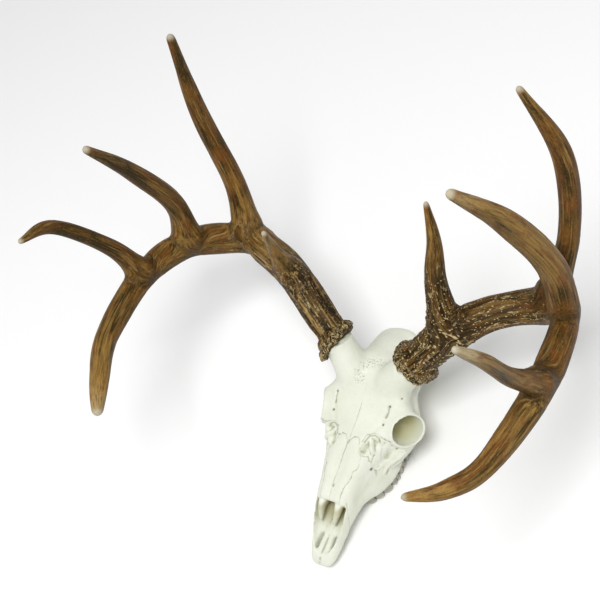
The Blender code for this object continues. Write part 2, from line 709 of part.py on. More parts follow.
def make_antler(name, antler):
    """One antler: a beam in five stretches, parted past its forks, and four tines."""
    line = beam_line(antler)
    end = line["distance"][-1]
    beam_tip = TIP_SHARE * line["radius"][-1]
    cuts = [0.0] + [line["marks"][fork] + PAST_FORK for fork in (1, 3, 4, 5)] + [end]
    all_places = []
    for number, (start, stop) in enumerate(zip(cuts, cuts[1:])):
        last = number == len(STRETCHES) - 1
        inset = GAP / 2
        tip = beam_tip if last else 0.0
        places = ring_places(start + (inset if number else 0), stop - (0 if last else inset), tip)
        if number == 0:
            places = np.concatenate([[0, BURR_HEIGHT * 0.6, BURR_HEIGHT, BURR_HEIGHT + 7], places[2:]])
        all_places.append(places)
        shell = bmesh.new()
        add_beam_stretch(shell, line, places, tip)
        made = new_object(shell, f"antler_{name}_{STRETCHES[number]}")
        finish(made, made.name, BEAM_COLOUR, 0.5)
    for tine in ("brow", "second", "third", "fourth"):
        fork, rows = antler[tine]
        tine_rows = [antler["beam"][fork][:3] + (rows[0][3] + 2,)] + rows
        tine_line = centre_line([mirrored(row, antler["side"]) for row in tine_rows])
        length = tine_line["distance"][-1]
        tip = TIP_SHARE * rows[-1][3]
        places = ring_places(0, length, tip)
        path, ahead, radii = sample_line(tine_line, places)
        leaving = antler["beam"][fork][3]
        flare = min(FORK_FLARE, leaving - rows[0][3])
        radii = radii + flare * np.exp(-np.clip(places - leaving, 0, None) / FLARE_LENGTH)
        radii = np.minimum(radii, 0.9 * leaving + 0.8 * places)
        radii = radii * tip_rounding(places, length, tip)
        shell = bmesh.new()
        add_rings(shell, path, ahead, radii, TINE_SIDES, flat_along=(0, 1, 0))
        made = new_object(shell, f"antler_{name}_{tine}_tine")
        cutter = bmesh.new()
        add_beam_stretch(cutter, line, np.concatenate(all_places), beam_tip, 2.2 * GAP)
        combine(made, new_object(cutter, "beam_space"), "DIFFERENCE")
        keep_largest(made)
        finish(made, made.name, TINE_COLOUR, 0.45)


def finish(made, name, colour, roughness):
    """Give an object its own plain material and smooth shading."""
    material = bpy.data.materials.new(name)
    material.use_nodes = True
    surface = material.node_tree.nodes["Principled BSDF"]
    surface.inputs["Base Color"].default_value = (*colour, 1)
    surface.inputs["Roughness"].default_value = roughness
    surface.inputs["Metallic"].default_value = 0.0
    made.data.materials.clear()
    made.data.materials.append(material)
    made.data.shade_smooth()
    made.data.set_sharp_from_angle(angle=math.radians(45))


for leftover in list(bpy.data.objects):
    bpy.data.objects.remove(leftover)
add_skull()
for antler_name, antler_sizes in ANTLERS.items():
    make_antler(antler_name, antler_sizes)
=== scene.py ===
"""White-tailed deer skull with its antlers, lying on its cheek teeth on a pale floor.

Every size is in millimetres in the skull's own frame: X to the deer's left, Y backwards
from the tip of the muzzle, Z up from the floor. Meshes are turned into metres as they are
made, in the same place as the solids they stand for.
"""

import math
from itertools import product

import bmesh
import bpy
import numpy as np
from mathutils import Matrix, Vector

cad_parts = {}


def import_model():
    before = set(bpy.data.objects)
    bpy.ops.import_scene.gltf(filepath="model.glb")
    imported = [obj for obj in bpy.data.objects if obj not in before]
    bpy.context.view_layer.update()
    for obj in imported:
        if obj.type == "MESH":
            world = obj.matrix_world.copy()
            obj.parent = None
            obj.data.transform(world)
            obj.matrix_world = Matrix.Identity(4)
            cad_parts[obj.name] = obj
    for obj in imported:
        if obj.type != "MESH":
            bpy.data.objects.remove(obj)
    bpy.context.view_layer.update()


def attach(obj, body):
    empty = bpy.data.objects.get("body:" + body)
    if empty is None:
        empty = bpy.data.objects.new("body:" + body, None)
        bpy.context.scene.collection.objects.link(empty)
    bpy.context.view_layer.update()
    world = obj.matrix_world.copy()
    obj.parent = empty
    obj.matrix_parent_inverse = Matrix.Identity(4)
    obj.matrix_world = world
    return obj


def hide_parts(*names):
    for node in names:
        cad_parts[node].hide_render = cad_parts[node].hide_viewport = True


MM = 0.001
ORIGIN = (-1.5, 208.9, 0.0)  # middle of the object's footprint, in the skull's frame
FAR = 1e9                    # stands for no distance measured
CLEAR = 9.0                  # and for a surface clear of any seam or hole, in mm
BATCH = 20000                # corners that are measured against a line at a time

# ---------------------------------------------------------------- skull sizes
SKULL_VOXEL = 1.35           # fineness of the skull's skin
HEAD_BLEND = 110             # smoothing passes that melt the top of the head's forms together
FACE_BLEND = 14              # and those for the rest of the skull
EDGE_BLEND = 3               # and those after its openings are cut

# Stations along Y: y, half width, top, widest level, bottom, squareness above and below
FACE = [
    (67, 21, 58.5, 46, 36, 3, 2),
    (80, 24.5, 63.5, 46, 34, 3, 2),
    (100, 27.5, 70, 50, 34, 3, 2),
    (120, 32, 76, 55, 34, 3, 2),
    (138, 39.5, 82, 60, 36, 3, 2),
    (152, 49, 86.5, 65, 38, 3.2, 2),
    (165, 56.5, 91, 70, 42, 3.4, 2.2),
    (178, 60, 96, 76, 46, 3.4, 2.2),
    (189, 61.5, 101, 81, 48, 3.2, 2.2),
    (199, 57, 105.5, 82, 46, 3, 2),
    (209, 49, 109, 80, 42, 2.8, 2),
    (222, 41, 111.5, 78, 38, 2.4, 2),
    (238, 35, 111.5, 76, 34, 2.2, 2),
]
JAW = [
    (60, 22, 48, 34, 17, 2.8, 2.4),
    (80, 26, 57, 36, 15, 3, 2.6),
    (92, 27.5, 61, 35, 12, 3, 3),
    (102, 31, 62, 31, 9, 3, 4),
    (116, 36.8, 63, 28, 7.5, 3, 6),
    (135, 40.4, 63, 28, 7, 2.8, 8),
    (155, 40.1, 62, 28, 7, 2.6, 8),
    (172, 38.3, 58, 29, 7.5, 2.4, 7),
    (186, 30, 56, 35, 16, 2, 3),
    (198, 18, 54, 40, 28, 2, 2),
]
MUZZLE = [
    (-0.5, 10.5, 17, 13.5, 10, 2.4, 2.4),
    (2, 13.8, 19.5, 14, 9, 2.4, 2.4),
    (6, 16.2, 21.5, 15, 8.5, 2.6, 2.6),
    (20, 19.2, 30, 19, 9, 2.8, 2.4),
    (40, 21.8, 42.5, 27, 12, 3, 2.4),
    (58, 24, 52, 35, 15, 3, 2.6),
    (78, 26.5, 60, 39, 15, 3.2, 2.6),
]
NOSTRIL = [
    (8, 9, 46, 34, 23, 3, 3),
    (16, 13, 50, 34, 23.2, 3, 3),
    (24, 16, 56, 34, 24, 3, 3),
    (42, 19.3, 68, 38, 26.2, 3, 3),
    (60, 21.3, 74, 40, 29, 3, 3),
    (67, 21.3, 74, 42, 29.5, 3, 3),
]
NASAL_PASSAGE = [
    (58, 18.5, 50, 40, 28.5, 2.4, 2.8),
    (74, 18.5, 54, 42, 30, 2.4, 2.8),
    (94, 15, 61, 45, 33, 2.2, 2.4),
]

ORBIT_CENTRE = (61, 173, 75)
ORBIT_FACING = (0.85, -0.40, 0.33)
ORBIT_RADIUS = 19.5
ORBIT_DEPTH = 31.0
ORBIT_RIM = 2.5

TOOTH_LENGTHS = (9.5, 10.5, 13, 15.5, 18.5, 17.5)   # second premolar to last molar
TOOTH_FRONT = 92.0
WIDEST_TOOTH = 138.0         # y where the two tooth rows stand furthest apart
TOOTH_ROW_REACH = 40.6
CROWN = 8.0

# The face leans a little to one side: y, and how far its upper part is moved to the left
LEAN = [(0, 0), (30, -1.8), (60, -2.6), (122, -2.6), (150, 0), (180, 1.5), (212, 1.0), (245, 0)]
LEAN_LEVELS = (18, 42)       # nothing moves below the first, all of it above the second

# Lines where bones meet, as x, y seen from above and mirrored to both sides
MIDLINE = [(0, 62), (-0.6, 90), (0.5, 118), (0, 150), (0.8, 174), (0, 190), (0, 232)]
TOP_SUTURES = [
    [(0, 130), (2, 138), (6, 143), (12, 143), (15.5, 138), (18, 133)],
    [(18, 133), (22.5, 125), (23.5, 117), (23, 110), (19.5, 106), (19.5, 100), (16.5, 90), (14.5, 79),
     (14, 66)],
    [(23, 125), (29, 128), (33, 124), (38, 118), (47, 128)],
    [(18, 140), (21, 150), (30, 154), (40, 152), (50, 153)],
    [(0, 232), (9, 229), (18, 234), (29, 231), (38, 226)],
]
SIDE_SUTURES = [             # as y, z seen from the side
    [(72, 54), (63, 45), (57, 34), (50, 24), (46, 12)],
    [(148, 62), (153, 52), (163, 44), (178, 42), (196, 52)],
]

# Marks worked into the bone, on the left and mirrored to the right. Each has its path, as
# x, y from above or x, y, z, then its half width and its height, which is below 0 for a groove.
MARKS = {
    "tear_hollow": ([(23.5, 131), (24.5, 138), (29, 144), (35, 145)], 5.6, -4.6),
    "tear_wedge": ([(35, 134), (30.5, 139), (27.5, 144)], 3.2, 3.8),
    "tear_brow": ([(20.5, 141), (24, 149), (30, 151.5), (36, 150), (39, 146)], 1.7, -2.4),
    "tear_ridge": ([(41, 150), (40.5, 143), (39.5, 136), (38.5, 130), (37, 124)], 2.1, 2.0),
    "tear_groove": ([(34.5, 141), (36, 133), (34.5, 125)], 1.9, -2.2),
    "tear_pit": ([(45, 149, 76), (47.5, 149, 68), (46, 145, 59), (42, 140, 53)], 4.6, -1.7),
    "tear_knob": ([(52, 153, 81), (56, 153, 76)], 2.4, 1.6),
    "cheek_crest": ([(37, 126, 36), (43, 134, 42), (50, 143, 46), (57, 154, 49)], 3.0, 1.6),
    "cheek_furrow": ([(38, 128, 31), (45, 136, 36), (52, 146, 40)], 2.6, -1.2),
    "brow_slit": ([(37.5, 186), (38, 180), (36.5, 174)], 1.5, -2.6),
    "brow_gutter": ([(37, 176), (33, 164), (28, 154)], 3.2, -0.9),
    "nasal_swell": ([(9.5, 72), (11, 95), (12, 120), (9, 138)], 7.0, 0.9),
    "nasal_gap": ([(0, 64), (0, 84)], 1.7, -1.4),
    "muzzle_gutter": ([(0, 3, 20), (0, 22, 24), (0, 44, 26)], 1.5, -1.1),
    "muzzle_rod": ([(4.2, 6, 20), (4.2, 24, 24), (4.6, 46, 27)], 2.4, 0.9),
    "temple_line": ([(44, 214), (40, 232), (33, 252), (24, 272)], 2.6, 1.0),
    "jaw_hollow": ([(30, 84, 40), (33, 104, 40), (38, 122, 46)], 9.0, -1.3),
}
PITS = [                     # holes for vessels: x, y, z, radius
    (36, 166, 89, 1.9), (48, 201, 98, 2.0), (33, 120, 55, 2.3), (-16, 141, 82, 1.2),
    (-20, 106, 68, 1.6), (38, 187, 98, 1.7),
]
SPECKLED = [(-9, 205), (-8, 218), (-4, 228), (4, 231), (13, 231)]   # where the brow is finely pitted

# --------------------------------------------------------------- antler sizes
ANTLERS = {
    "left": {
        "side": 1, "burr_facing": (0.67, 0.41, 0.62), "knob_height": 1.7, "beaded": 1.0,
        "smooth_brow": (75, 125), "pale_tips": (0.3, 0.2, 0.2, 0.4, 1.3),
        "burr_shares": (0.86, 0.97, 1.06, 1.06, 1.0, 0.92, 0.83, 0.76),
        "tones": [(0.5, 0.4, 0.4, 0.05, 0.5, 0.65), 0.4, 0.3, 0.95, 0.7],
        "beam": [(59, 236, 125, 20), (108, 264, 168, 22), (156, 295, 185, 18.8),
                 (211, 319, 184, 21.2), (255, 291, 226, 14.8), (272, 202, 247, 15.5),
                 (258, 106, 253, 12), (235, 64, 263, 9.5), (201, 39, 274, 3.6)],
        "tines": [
            (1, [(102, 292, 232, 12.5), (108, 314, 283, 7.9), (108, 331, 332, 3.1)]),
            (3, [(235, 366, 255, 11.4), (240, 398, 350, 10.8), (218.5, 401, 447, 3.8)]),
            (4, [(256, 300, 305, 14.5), (242, 285, 394, 12.6), (226, 252.5, 481, 4.7)]),
            (5, [(272, 171, 314, 9.3), (277, 149, 384, 7.4), (275, 129, 439, 3.4)]),
        ],
    },
    "right": {
        "side": -1, "burr_facing": (0.85, 0.20, 0.49), "knob_height": 3.0, "beaded": 0.3,
        "smooth_brow": (22, 45), "pale_tips": (0.5, 0.7, 0, 0.1, 0.5),
        "burr_shares": (0.80, 0.93, 1.0, 1.0, 0.93, 0.82, 0.73, 0.64),
        "tones": [(0.55, 0.45, 0.75, 0.7, 0.45, 0.9), 0.75, 0.15, 0.35, 0.1],
        "beam": [(41.5, 233, 135, 18), (112, 282, 182, 20.3), (165, 306, 191, 20.5),
                 (209, 321, 182, 19.8), (259, 275, 221, 18.6), (271, 205, 248, 16),
                 (260, 114, 259, 14.4), (230, 58, 264, 12), (202, 14, 264, 6.2)],
        "tines": [
            (1, [(112, 280, 219, 10.5), (105, 278, 259, 6), (94, 273, 298, 3)]),
            (3, [(218, 358, 248, 13.3), (234, 387, 347, 11.3), (229, 414, 457, 5.1)]),
            (4, [(244, 287, 295, 12.5), (241, 268, 385, 10.7), (229, 236.5, 469, 4.2)]),
            (5, [(268, 197, 320, 10.5), (283, 168, 400, 8.3), (271, 122, 439, 3.3)]),
        ],
    },
}
STRETCHES = ("base", "lower_beam", "middle_beam", "upper_beam", "beam_end",
             "brow_tine", "second_tine", "third_tine", "fourth_tine")
BURR_RADIUS = 27.5
BURR_HEIGHTS = (0.3, 0.8, 2.5, 6.0, 9.0, 12.0, 16.0, 20.0)
BURR_HEIGHT = 9.0
PEDICLE_ROOT = (24, 214, 94)
PEDICLE_RADII = ((-0.35, 20), (0.0, 23), (0.55, 21.5), (1.15, 19))   # by share of the way up
PEDICLE_SEAT = ((0.6, 19), (1.1, 19))
FORK_FLARE = 7.0
FLARE_LENGTH = 16.0
TIP_SHARE = 1.3              # a tip is rounded over this many of its own radii
ANTLER_VOXEL = 1.36
GROOVE_PITCH = (4.2, 4.2, 60.0)   # mm between grooves across the antler, and how far they run
PEARL_PITCH = 5.4            # mm between the small pale beads near a burr
KNOB_PITCH = 7.5             # and between the larger knobs round it
FORK_BLEND = 40              # smoothing passes where an antler's stretches meet
SHARE_FADE = 4.0             # mm past a stretch's surface over which its share of a corner fades
TUBE_SIDES = 64
BEAD_REACH = (25, 130)       # mm from the burr over which the beads end
ROUGH_REACH = (50, 260)      # and over which the antler grows smooth
PALE_REACH = (5, 75)         # mm from a tip over which its pale tone ends
TINE_TONE_START = (25, 100)  # mm along a tine over which its own tone takes over
PEARL_SIZE = 0.46            # radii as shares of a pitch
KNOB_SIZE = 0.62
BEAM_TONE_PLACES = (0, 0.15, 0.30, 0.45, 0.70, 1)   # shares of the beam's length

SKULL_BONES = ("nasal_left", "nasal_right", "premaxilla_left", "premaxilla_right",
               "maxilla_left", "maxilla_right", "cheekbone_left", "cheekbone_right",
               "frontal_left", "frontal_right", "braincase", "occipital")

# --------------------------------------------------------------------- camera
LENS_PIXELS = 1185.4         # focal length in pixels of the 600-pixel frame
CAMERA_TURN = (37.697, 19.680, 28.800)   # swing, tip and roll, in degrees
CAMERA_DISTANCE = 1399.8
CAMERA_TARGET = (0, 180, 120)
CAMERA_SLIDE = (-62.4, 111.9)            # across and up in the picture, in mm


# ------------------------------------------------------------- general helpers
def curve_through(rows, step, lead=1, measured=3):
    """Catmull-Rom curve through rows of any width, sampled about every step.

    Its ends head on by lead times their last stride, and the first measured columns give
    the distance between rows.
    """
    rows = np.asarray(rows, float)
    padded = np.vstack([rows[0] + lead * (rows[0] - rows[1]), rows,
                        rows[-1] + lead * (rows[-1] - rows[-2])])
    samples = []
    marks = []
    for before, start, end, after in zip(padded, padded[1:], padded[2:], padded[3:]):
        marks.append(len(samples))
        count = max(1, round(np.linalg.norm((end - start)[:measured]) / step))
        for t in np.arange(count) / count:
            samples.append(0.5 * (2 * start + (end - before) * t
                                  + (2 * before - 5 * start + 4 * end - after) * t ** 2
                                  + (3 * start - before - 3 * end + after) * t ** 3))
    marks.append(len(samples))
    samples.append(rows[-1])
    return np.array(samples), marks


def tangents(path):
    """Unit directions along a path of points."""
    ahead = np.gradient(path, axis=0)
    return ahead / np.linalg.norm(ahead, axis=1)[:, None]


def ring_of(middle, across, upward, radius, count, flatten=1.0):
    """Points round a circle, or round an ellipse that is flattened upwards."""
    ring = []
    for k in range(count):
        angle = 2 * math.pi * k / count
        ring.append(middle + radius * (math.cos(angle) * across + math.sin(angle) * flatten * upward))
    return ring


def add_loft(shell, rings):
    """Add a closed skin over rings of equal point counts, in mm."""
    loops = [[shell.verts.new(point) for point in ring] for ring in rings]
    for lower, upper in zip(loops, loops[1:]):
        bridge(shell, lower, upper)
    shell.faces.new(loops[0][::-1])
    shell.faces.new(loops[-1])


def bridge(shell, lower, upper):
    """Join two closed loops of corners by faces."""
    for k in range(len(lower)):
        following = (k + 1) % len(lower)
        shell.faces.new((lower[k], lower[following], upper[following], upper[k]))


def squared_off(value, power):
    """A share of a circle's reach, bent to make the circle more or less square."""
    return math.copysign(abs(value) ** power, value)


def add_stations(shell, stations, sides=64, step=3.0):
    """Add a form whose upright sections follow rows of stations along Y."""
    curve, _ = curve_through(stations, step, lead=0, measured=1)
    rings = []
    for y, width, top, middle, bottom, upper, lower in curve:
        ring = []
        for k in range(sides):
            angle = -2 * math.pi * k / sides
            above = math.sin(angle) > 0
            power = 2 / (upper if above else lower)
            reach = top - middle if above else middle - bottom
            z = middle + reach * squared_off(math.sin(angle), power)
            ring.append((width * squared_off(math.cos(angle), power), y, z))
        rings.append(ring)
    add_loft(shell, rings)


def add_tube(shell, rows, side=1, flatten=1.0, flat_along=(0, 0, 1), sides=28):
    """Add a tube through rows x, y, z, radius; flatten scales it along one direction."""
    curve, _ = curve_through([mirrored(row, side) for row in rows], 3.0)
    rings = []
    for point, ahead, radius in zip(curve[:, :3], tangents(curve[:, :3]), curve[:, 3]):
        across = np.cross(ahead, flat_along)
        across /= np.linalg.norm(across)
        rings.append(ring_of(point, across, np.cross(across, ahead), radius, sides, flatten))
    add_loft(shell, rings)


def add_ellipsoid(shell, centre, radii, side=1, facing=(0, 0, 1)):
    """Add an ellipsoid whose third radius lies along facing."""
    turn = Vector(facing).to_track_quat("Z", "Y").to_matrix().to_4x4()
    place = Matrix.Translation(mirrored(centre, side)) @ turn @ Matrix.Diagonal((*radii, 1))
    bmesh.ops.create_icosphere(shell, subdivisions=4, radius=1, matrix=place)


def mirrored(point, side):
    """The point on the given side of the skull's midplane."""
    return (side * point[0], *point[1:])


def add_object(name, data):
    """Put an object that shows a mesh, curve, camera or light into the scene."""
    made = bpy.data.objects.new(name, data)
    bpy.context.scene.collection.objects.link(made)
    return made


def new_object(shell, name):
    """Turn a mesh built in mm into a closed, outward-facing object in metres."""
    bmesh.ops.recalc_face_normals(shell, faces=shell.faces)
    bmesh.ops.transform(shell, verts=shell.verts,
                        matrix=Matrix.Scale(MM, 4) @ Matrix.Translation(-Vector(ORIGIN)))
    mesh = bpy.data.meshes.new(name)
    shell.to_mesh(mesh)
    shell.free()
    return add_object(name, mesh)


def resulting_mesh(made):
    """The mesh that an object's modifiers give."""
    graph = bpy.context.evaluated_depsgraph_get()
    return bpy.data.meshes.new_from_object(made.evaluated_get(graph), depsgraph=graph)


def settle(made):
    """Replace an object's mesh by its modifiers' result."""
    mesh = resulting_mesh(made)
    made.modifiers.clear()
    made.data = mesh


def combine(made, other, operation):
    """Union or difference with another object, which is then removed."""
    modifier = made.modifiers.new(operation.title(), "BOOLEAN")
    modifier.operation = operation
    modifier.solver = "EXACT"
    modifier.object = other
    settle(made)
    bpy.data.objects.remove(other)


def fuse(made, voxel):
    """Melt overlapping closed forms into one skin."""
    remesh = made.modifiers.new("Fuse", "REMESH")
    remesh.mode = "VOXEL"
    remesh.voxel_size = voxel * MM
    settle(made)


def fused(fill, name, voxel):
    """One skin over every form that a function adds."""
    shell = bmesh.new()
    fill(shell)
    made = new_object(shell, name)
    fuse(made, voxel)
    return made


def even_out(made, passes):
    """Smooth an object's surface."""
    smooth = made.modifiers.new("Round", "SMOOTH")
    smooth.iterations = passes
    smooth.factor = 0.5
    settle(made)


def numbers_of(members, name, width, kind=np.float32):
    """A property of every corner or edge of a mesh, one row each."""
    flat = np.empty(len(members) * width, kind)
    members.foreach_get(name, flat)
    return flat.reshape(-1, width)


def corners_mm(mesh):
    """A mesh's corners in mm in the skull's frame."""
    return numbers_of(mesh.vertices, "co", 3).astype(float) / MM + np.array(ORIGIN)


def set_corners_mm(mesh, corners):
    """Move a mesh's corners to places in mm in the skull's frame."""
    mesh.vertices.foreach_set("co", ((corners - np.array(ORIGIN)) * MM).astype(np.float32).ravel())
    mesh.update()


def corner_normals(mesh):
    """Unit normals at a mesh's corners."""
    return numbers_of(mesh.vertex_normals, "vector", 3).astype(float)


def store(mesh, kept):
    """Keep numbers, or vectors, for every corner of a mesh, for its material to read."""
    for name, values in kept.items():
        kind, field = ("FLOAT", "value") if values.ndim == 1 else ("FLOAT_VECTOR", "vector")
        column = mesh.attributes.new(name, kind, "POINT").data
        column.foreach_set(field, values.astype(np.float32).ravel())


def lattice(cells, seed):
    """A fixed pseudo-random number from 0 to 1 for each whole-numbered cell."""
    cells = cells.astype(np.int64)
    mixed = cells[:, 0] * 73856093 ^ cells[:, 1] * 19349663 ^ cells[:, 2] * 83492791 ^ seed * 2654435761
    mixed = (mixed ^ (mixed >> 13)) * 1274126177 & 0x7FFFFFFF
    mixed = (mixed ^ (mixed >> 16)) * 668265263 & 0x7FFFFFFF
    return (mixed & 0xFFFFF) / 0xFFFFF


def noise(points, seed=0):
    """Smooth noise from -1 to 1 that changes over a distance of about 1."""
    base = np.floor(points)
    part = points - base
    part = part * part * (3 - 2 * part)
    total = np.zeros(len(points))
    for step in product((0, 1), repeat=3):
        weight = np.abs(1 - np.array(step) - part)
        total += weight[:, 0] * weight[:, 1] * weight[:, 2] * lattice(base + step, seed)
    return 2 * total - 1


def scattered(points, seed):
    """Distance from each point to the nearest of one dot in every cell, and that dot's own number."""
    base = np.floor(points)
    least = np.full(len(points), FAR)
    number = np.zeros(len(points))
    for step in product((-1, 0, 1), repeat=3):
        cell = base + step
        dot = cell + np.column_stack([lattice(cell, seed + turn) for turn in (1, 2, 3)])
        apart = np.linalg.norm(points - dot, axis=1)
        nearer = apart < least
        least[nearer] = apart[nearer]
        number[nearer] = lattice(cell[nearer], seed + 4)
    return least, number


def ramp(values, low, high):
    """0 below low, 1 above high, and smooth between."""
    share = np.clip((values - low) / (high - low), 0, 1)
    return share * share * (3 - 2 * share)


def distance_to_lines(places, lines):
    """Least distance from points, in a plane or in space, to any of several broken lines."""
    least = np.full(len(places), FAR)
    for line in lines:
        for start, end in zip(np.array(line[:-1], float), np.array(line[1:], float)):
            along = end - start
            share = np.clip(((places - start) @ along) / (along @ along), 0, 1)
            least = np.minimum(least, np.linalg.norm(places - start - share[:, None] * along, axis=1))
    return least


# -------------------------------------------------------------- skull's forms
def orbit_axes(side):
    """Centre of an eye socket, the way it faces, and two directions across it."""
    facing = Vector(mirrored(ORBIT_FACING, side)).normalized()
    across = facing.cross(Vector((0, 0, 1))).normalized()
    return Vector(mirrored(ORBIT_CENTRE, side)), facing, across, across.cross(facing)


def add_orbit_rim(shell, side):
    """The raised ring of bone around an eye socket."""
    centre, facing, across, upward = orbit_axes(side)
    loops = []
    for outward in ring_of(Vector(), across, upward, 1.0, 64):
        middle = centre + outward * (ORBIT_RADIUS + 0.7 * ORBIT_RIM)
        ring = ring_of(middle, outward, facing, ORBIT_RIM, 12, 1.3)
        loops.append([shell.verts.new(point) for point in ring])
    for near, far in zip(loops, loops[1:] + loops[:1]):
        bridge(shell, near, far)


def add_orbit_cup(shell, side):
    """The closed bowl of bone behind the rim."""
    centre, facing, across, upward = orbit_axes(side)
    rings = []
    for depth in (0.0, 0.15, 0.3, 0.45, 0.6, 0.7, 0.8, 0.87, 0.93, 0.97, 0.99):
        width = (ORBIT_RADIUS + ORBIT_RIM) * math.sqrt(1 - depth ** 2)
        middle = centre - facing * depth * (ORBIT_DEPTH + ORBIT_RIM)
        rings.append(ring_of(middle, across, upward, width, 48))
    add_loft(shell, rings)


def add_braincase(shell):
    """Braincase, occiput, skull base and what hangs below them."""
    add_ellipsoid(shell, (0, 250, 69), (37, 45, 39))
    add_ellipsoid(shell, (0, 236, 96), (37, 23, 17))
    add_ellipsoid(shell, (0, 262, 82), (30, 27, 24))
    add_ellipsoid(shell, (0, 280, 58), (35, 13, 34))
    add_tube(shell, [(0, 292, 40, 15), (0, 262, 38, 17), (0, 228, 42, 16), (0, 200, 46, 15),
                     (0, 184, 50, 14)], flatten=0.8)
    for side in (1, -1):
        add_ellipsoid(shell, (13, 289, 38), (9, 9, 13), side)
        add_ellipsoid(shell, (17, 246, 31), (9, 13, 10), side)
        add_ellipsoid(shell, (32, 262, 56), (8, 15, 13), side)
        add_tube(shell, [(27, 270, 50, 9), (21, 274, 26, 6.5), (16, 277, 10, 4.5), (14, 278, -3, 4)],
                 side, 1.5, (0, 1, 0))
        add_tube(shell, [(12, 184, 42, 5), (13, 194, 30, 4), (14, 203, 22, 3)], side, 2.2, (0, 1, 1))
    add_tube(shell, [(-33, 263, 78, 5), (-22, 282, 86, 6), (0, 287, 90, 7), (20, 285, 90, 7),
                     (31, 270, 82, 6)])


def add_cheek(shell, side):
    """Cheekbone, zygomatic arch and its root on the braincase."""
    add_tube(shell, [(26, 132, 38, 10), (40, 148, 42, 11), (52, 163, 48, 9), (58, 178, 51, 7),
                     (56, 191, 54, 6.3), (50, 203, 57, 5.6), (42, 215, 58, 5.2), (36, 226, 57, 5.6),
                     (31, 237, 55, 8)], side, 1.25)


def add_pedicle(shell, antler, radii):
    """The bone stump that carries an antler, from its radii at shares of the way up."""
    root = np.array(PEDICLE_ROOT)
    way = np.array(antler["beam"][0][:3]) - root
    rows = [(*(root + share * way), radius) for share, radius in radii]
    add_tube(shell, rows, antler["side"], sides=40)


def bulk_forms(shell):
    """The large forms of the skull, which melt into each other."""
    for stations in (FACE, JAW, MUZZLE):
        add_stations(shell, stations)
    add_braincase(shell)
    for antler in ANTLERS.values():
        add_cheek(shell, antler["side"])
        add_pedicle(shell, antler, PEDICLE_RADII)
        add_orbit_rim(shell, antler["side"])
        add_orbit_cup(shell, antler["side"])


def fine_forms(shell):
    """Forms that keep their edges: the nasal bones' pointed tips and the seats of the antlers."""
    for antler in ANTLERS.values():
        add_tube(shell, [(8, 86, 61.5, 9), (9, 74, 58, 7.5), (10, 66, 55.5, 4.5), (10.5, 59, 53.5, 1.2)],
                 antler["side"], 0.42)
        add_pedicle(shell, antler, PEDICLE_SEAT)


def cut_forms(shell):
    """Every hollow that is taken out of the fused skull."""
    add_stations(shell, NOSTRIL, step=2)
    add_stations(shell, NASAL_PASSAGE, step=2)
    add_ellipsoid(shell, (0, 298, 46), (10, 16, 10))
    add_tube(shell, [(0, 13, 7, 3), (0, 24, 9, 8), (0, 42, 11, 11), (0, 64, 9, 12), (0, 90, 3, 13),
                     (0, 130, 0, 18), (0, 180, 0, 19), (0, 190, 2, 17)])
    add_tube(shell, [(0, 176, 26, 8), (0, 190, 26, 10), (0, 206, 22, 11)])
    for side in (1, -1):
        centre, facing, _, _ = orbit_axes(side)
        add_ellipsoid(shell, centre, (ORBIT_RADIUS, ORBIT_RADIUS, ORBIT_DEPTH), facing=facing)
        add_ellipsoid(shell, centre + 13.5 * facing, (ORBIT_RADIUS + 2, ORBIT_RADIUS + 2, 13),
                      facing=facing)
        add_ellipsoid(shell, (52, 223, 76), (11, 15, 12), side)
        add_tube(shell, [(9.6, 15, 20, 0.8), (10, 20, 21, 1.8), (10, 27, 22, 2.0), (9.4, 34, 23, 1.7),
                         (8.8, 38, 23, 0.8)], side, 6)
    add_ellipsoid(shell, (0, -3, 15), (1.9, 8, 20))


def nose_scrolls(shell):
    """Turbinates and vomer seen inside the nose."""
    for side in (1, -1):
        add_tube(shell, [(10, 100, 51, 8), (10.5, 80, 50, 7), (11.5, 67, 48.5, 5.6), (11.5, 59, 46, 4.4),
                         (10.5, 51, 41.5, 3.0), (9.5, 45, 36.5, 1.0)], side, 1.3)
    add_tube(shell, [(0, 6, 15, 3), (0, 40, 22.5, 4), (0, 57, 26.5, 3.6), (0, 74, 29, 4),
                     (0, 100, 33, 8)], flatten=1.3)


def suture_distance(corners, normals):
    """Distance in mm from each corner to the nearest line where bones meet."""
    x, y, z = corners.T
    wander = 1.1 * noise(corners / 3.4, 5) + 0.5 * noise(corners / 1.5, 6)
    above = distance_to_lines(np.column_stack([np.abs(x) + wander, y + wander]), TOP_SUTURES)
    above = np.minimum(above, distance_to_lines(np.column_stack([x + 0.4 * wander, y]), [MIDLINE]))
    above += 0.6 * ramp(y, 165, 215)
    above = np.where((normals[:, 2] > 0.15) & (z > 40), above, CLEAR)
    from_side = np.column_stack([y + wander, z + wander])
    front, cheek = (distance_to_lines(from_side, [line]) for line in SIDE_SUTURES)
    beside = np.where(normals[:, 0] * np.sign(x) > 0.3, np.minimum(front, cheek + 0.4), CLEAR)
    return np.minimum(above, beside)


def relaxed(mesh, corners, passes, share=1.0):
    """A mesh's corners after some passes that move each towards the mean of its neighbours."""
    ends = numbers_of(mesh.edges, "vertices", 2, np.int32)
    counts = np.maximum(np.bincount(ends.ravel(), minlength=len(corners)), 1)
    share = np.broadcast_to(np.asarray(share, float).reshape(-1, 1), (len(corners), 1))
    for _ in range(passes):
        means = np.empty_like(corners)
        for axis, part in enumerate(corners.T):
            total = np.bincount(ends[:, 0], part[ends[:, 1]], len(corners))
            total += np.bincount(ends[:, 1], part[ends[:, 0]], len(corners))
            means[:, axis] = total / counts
        corners = corners + 0.5 * share * (means - corners)
    return corners


def sunk_below(mesh, corners, passes):
    """How far each corner lies below the surface that smoothing would give."""
    return ((relaxed(mesh, corners, passes) - corners) * corner_normals(mesh)).sum(1)


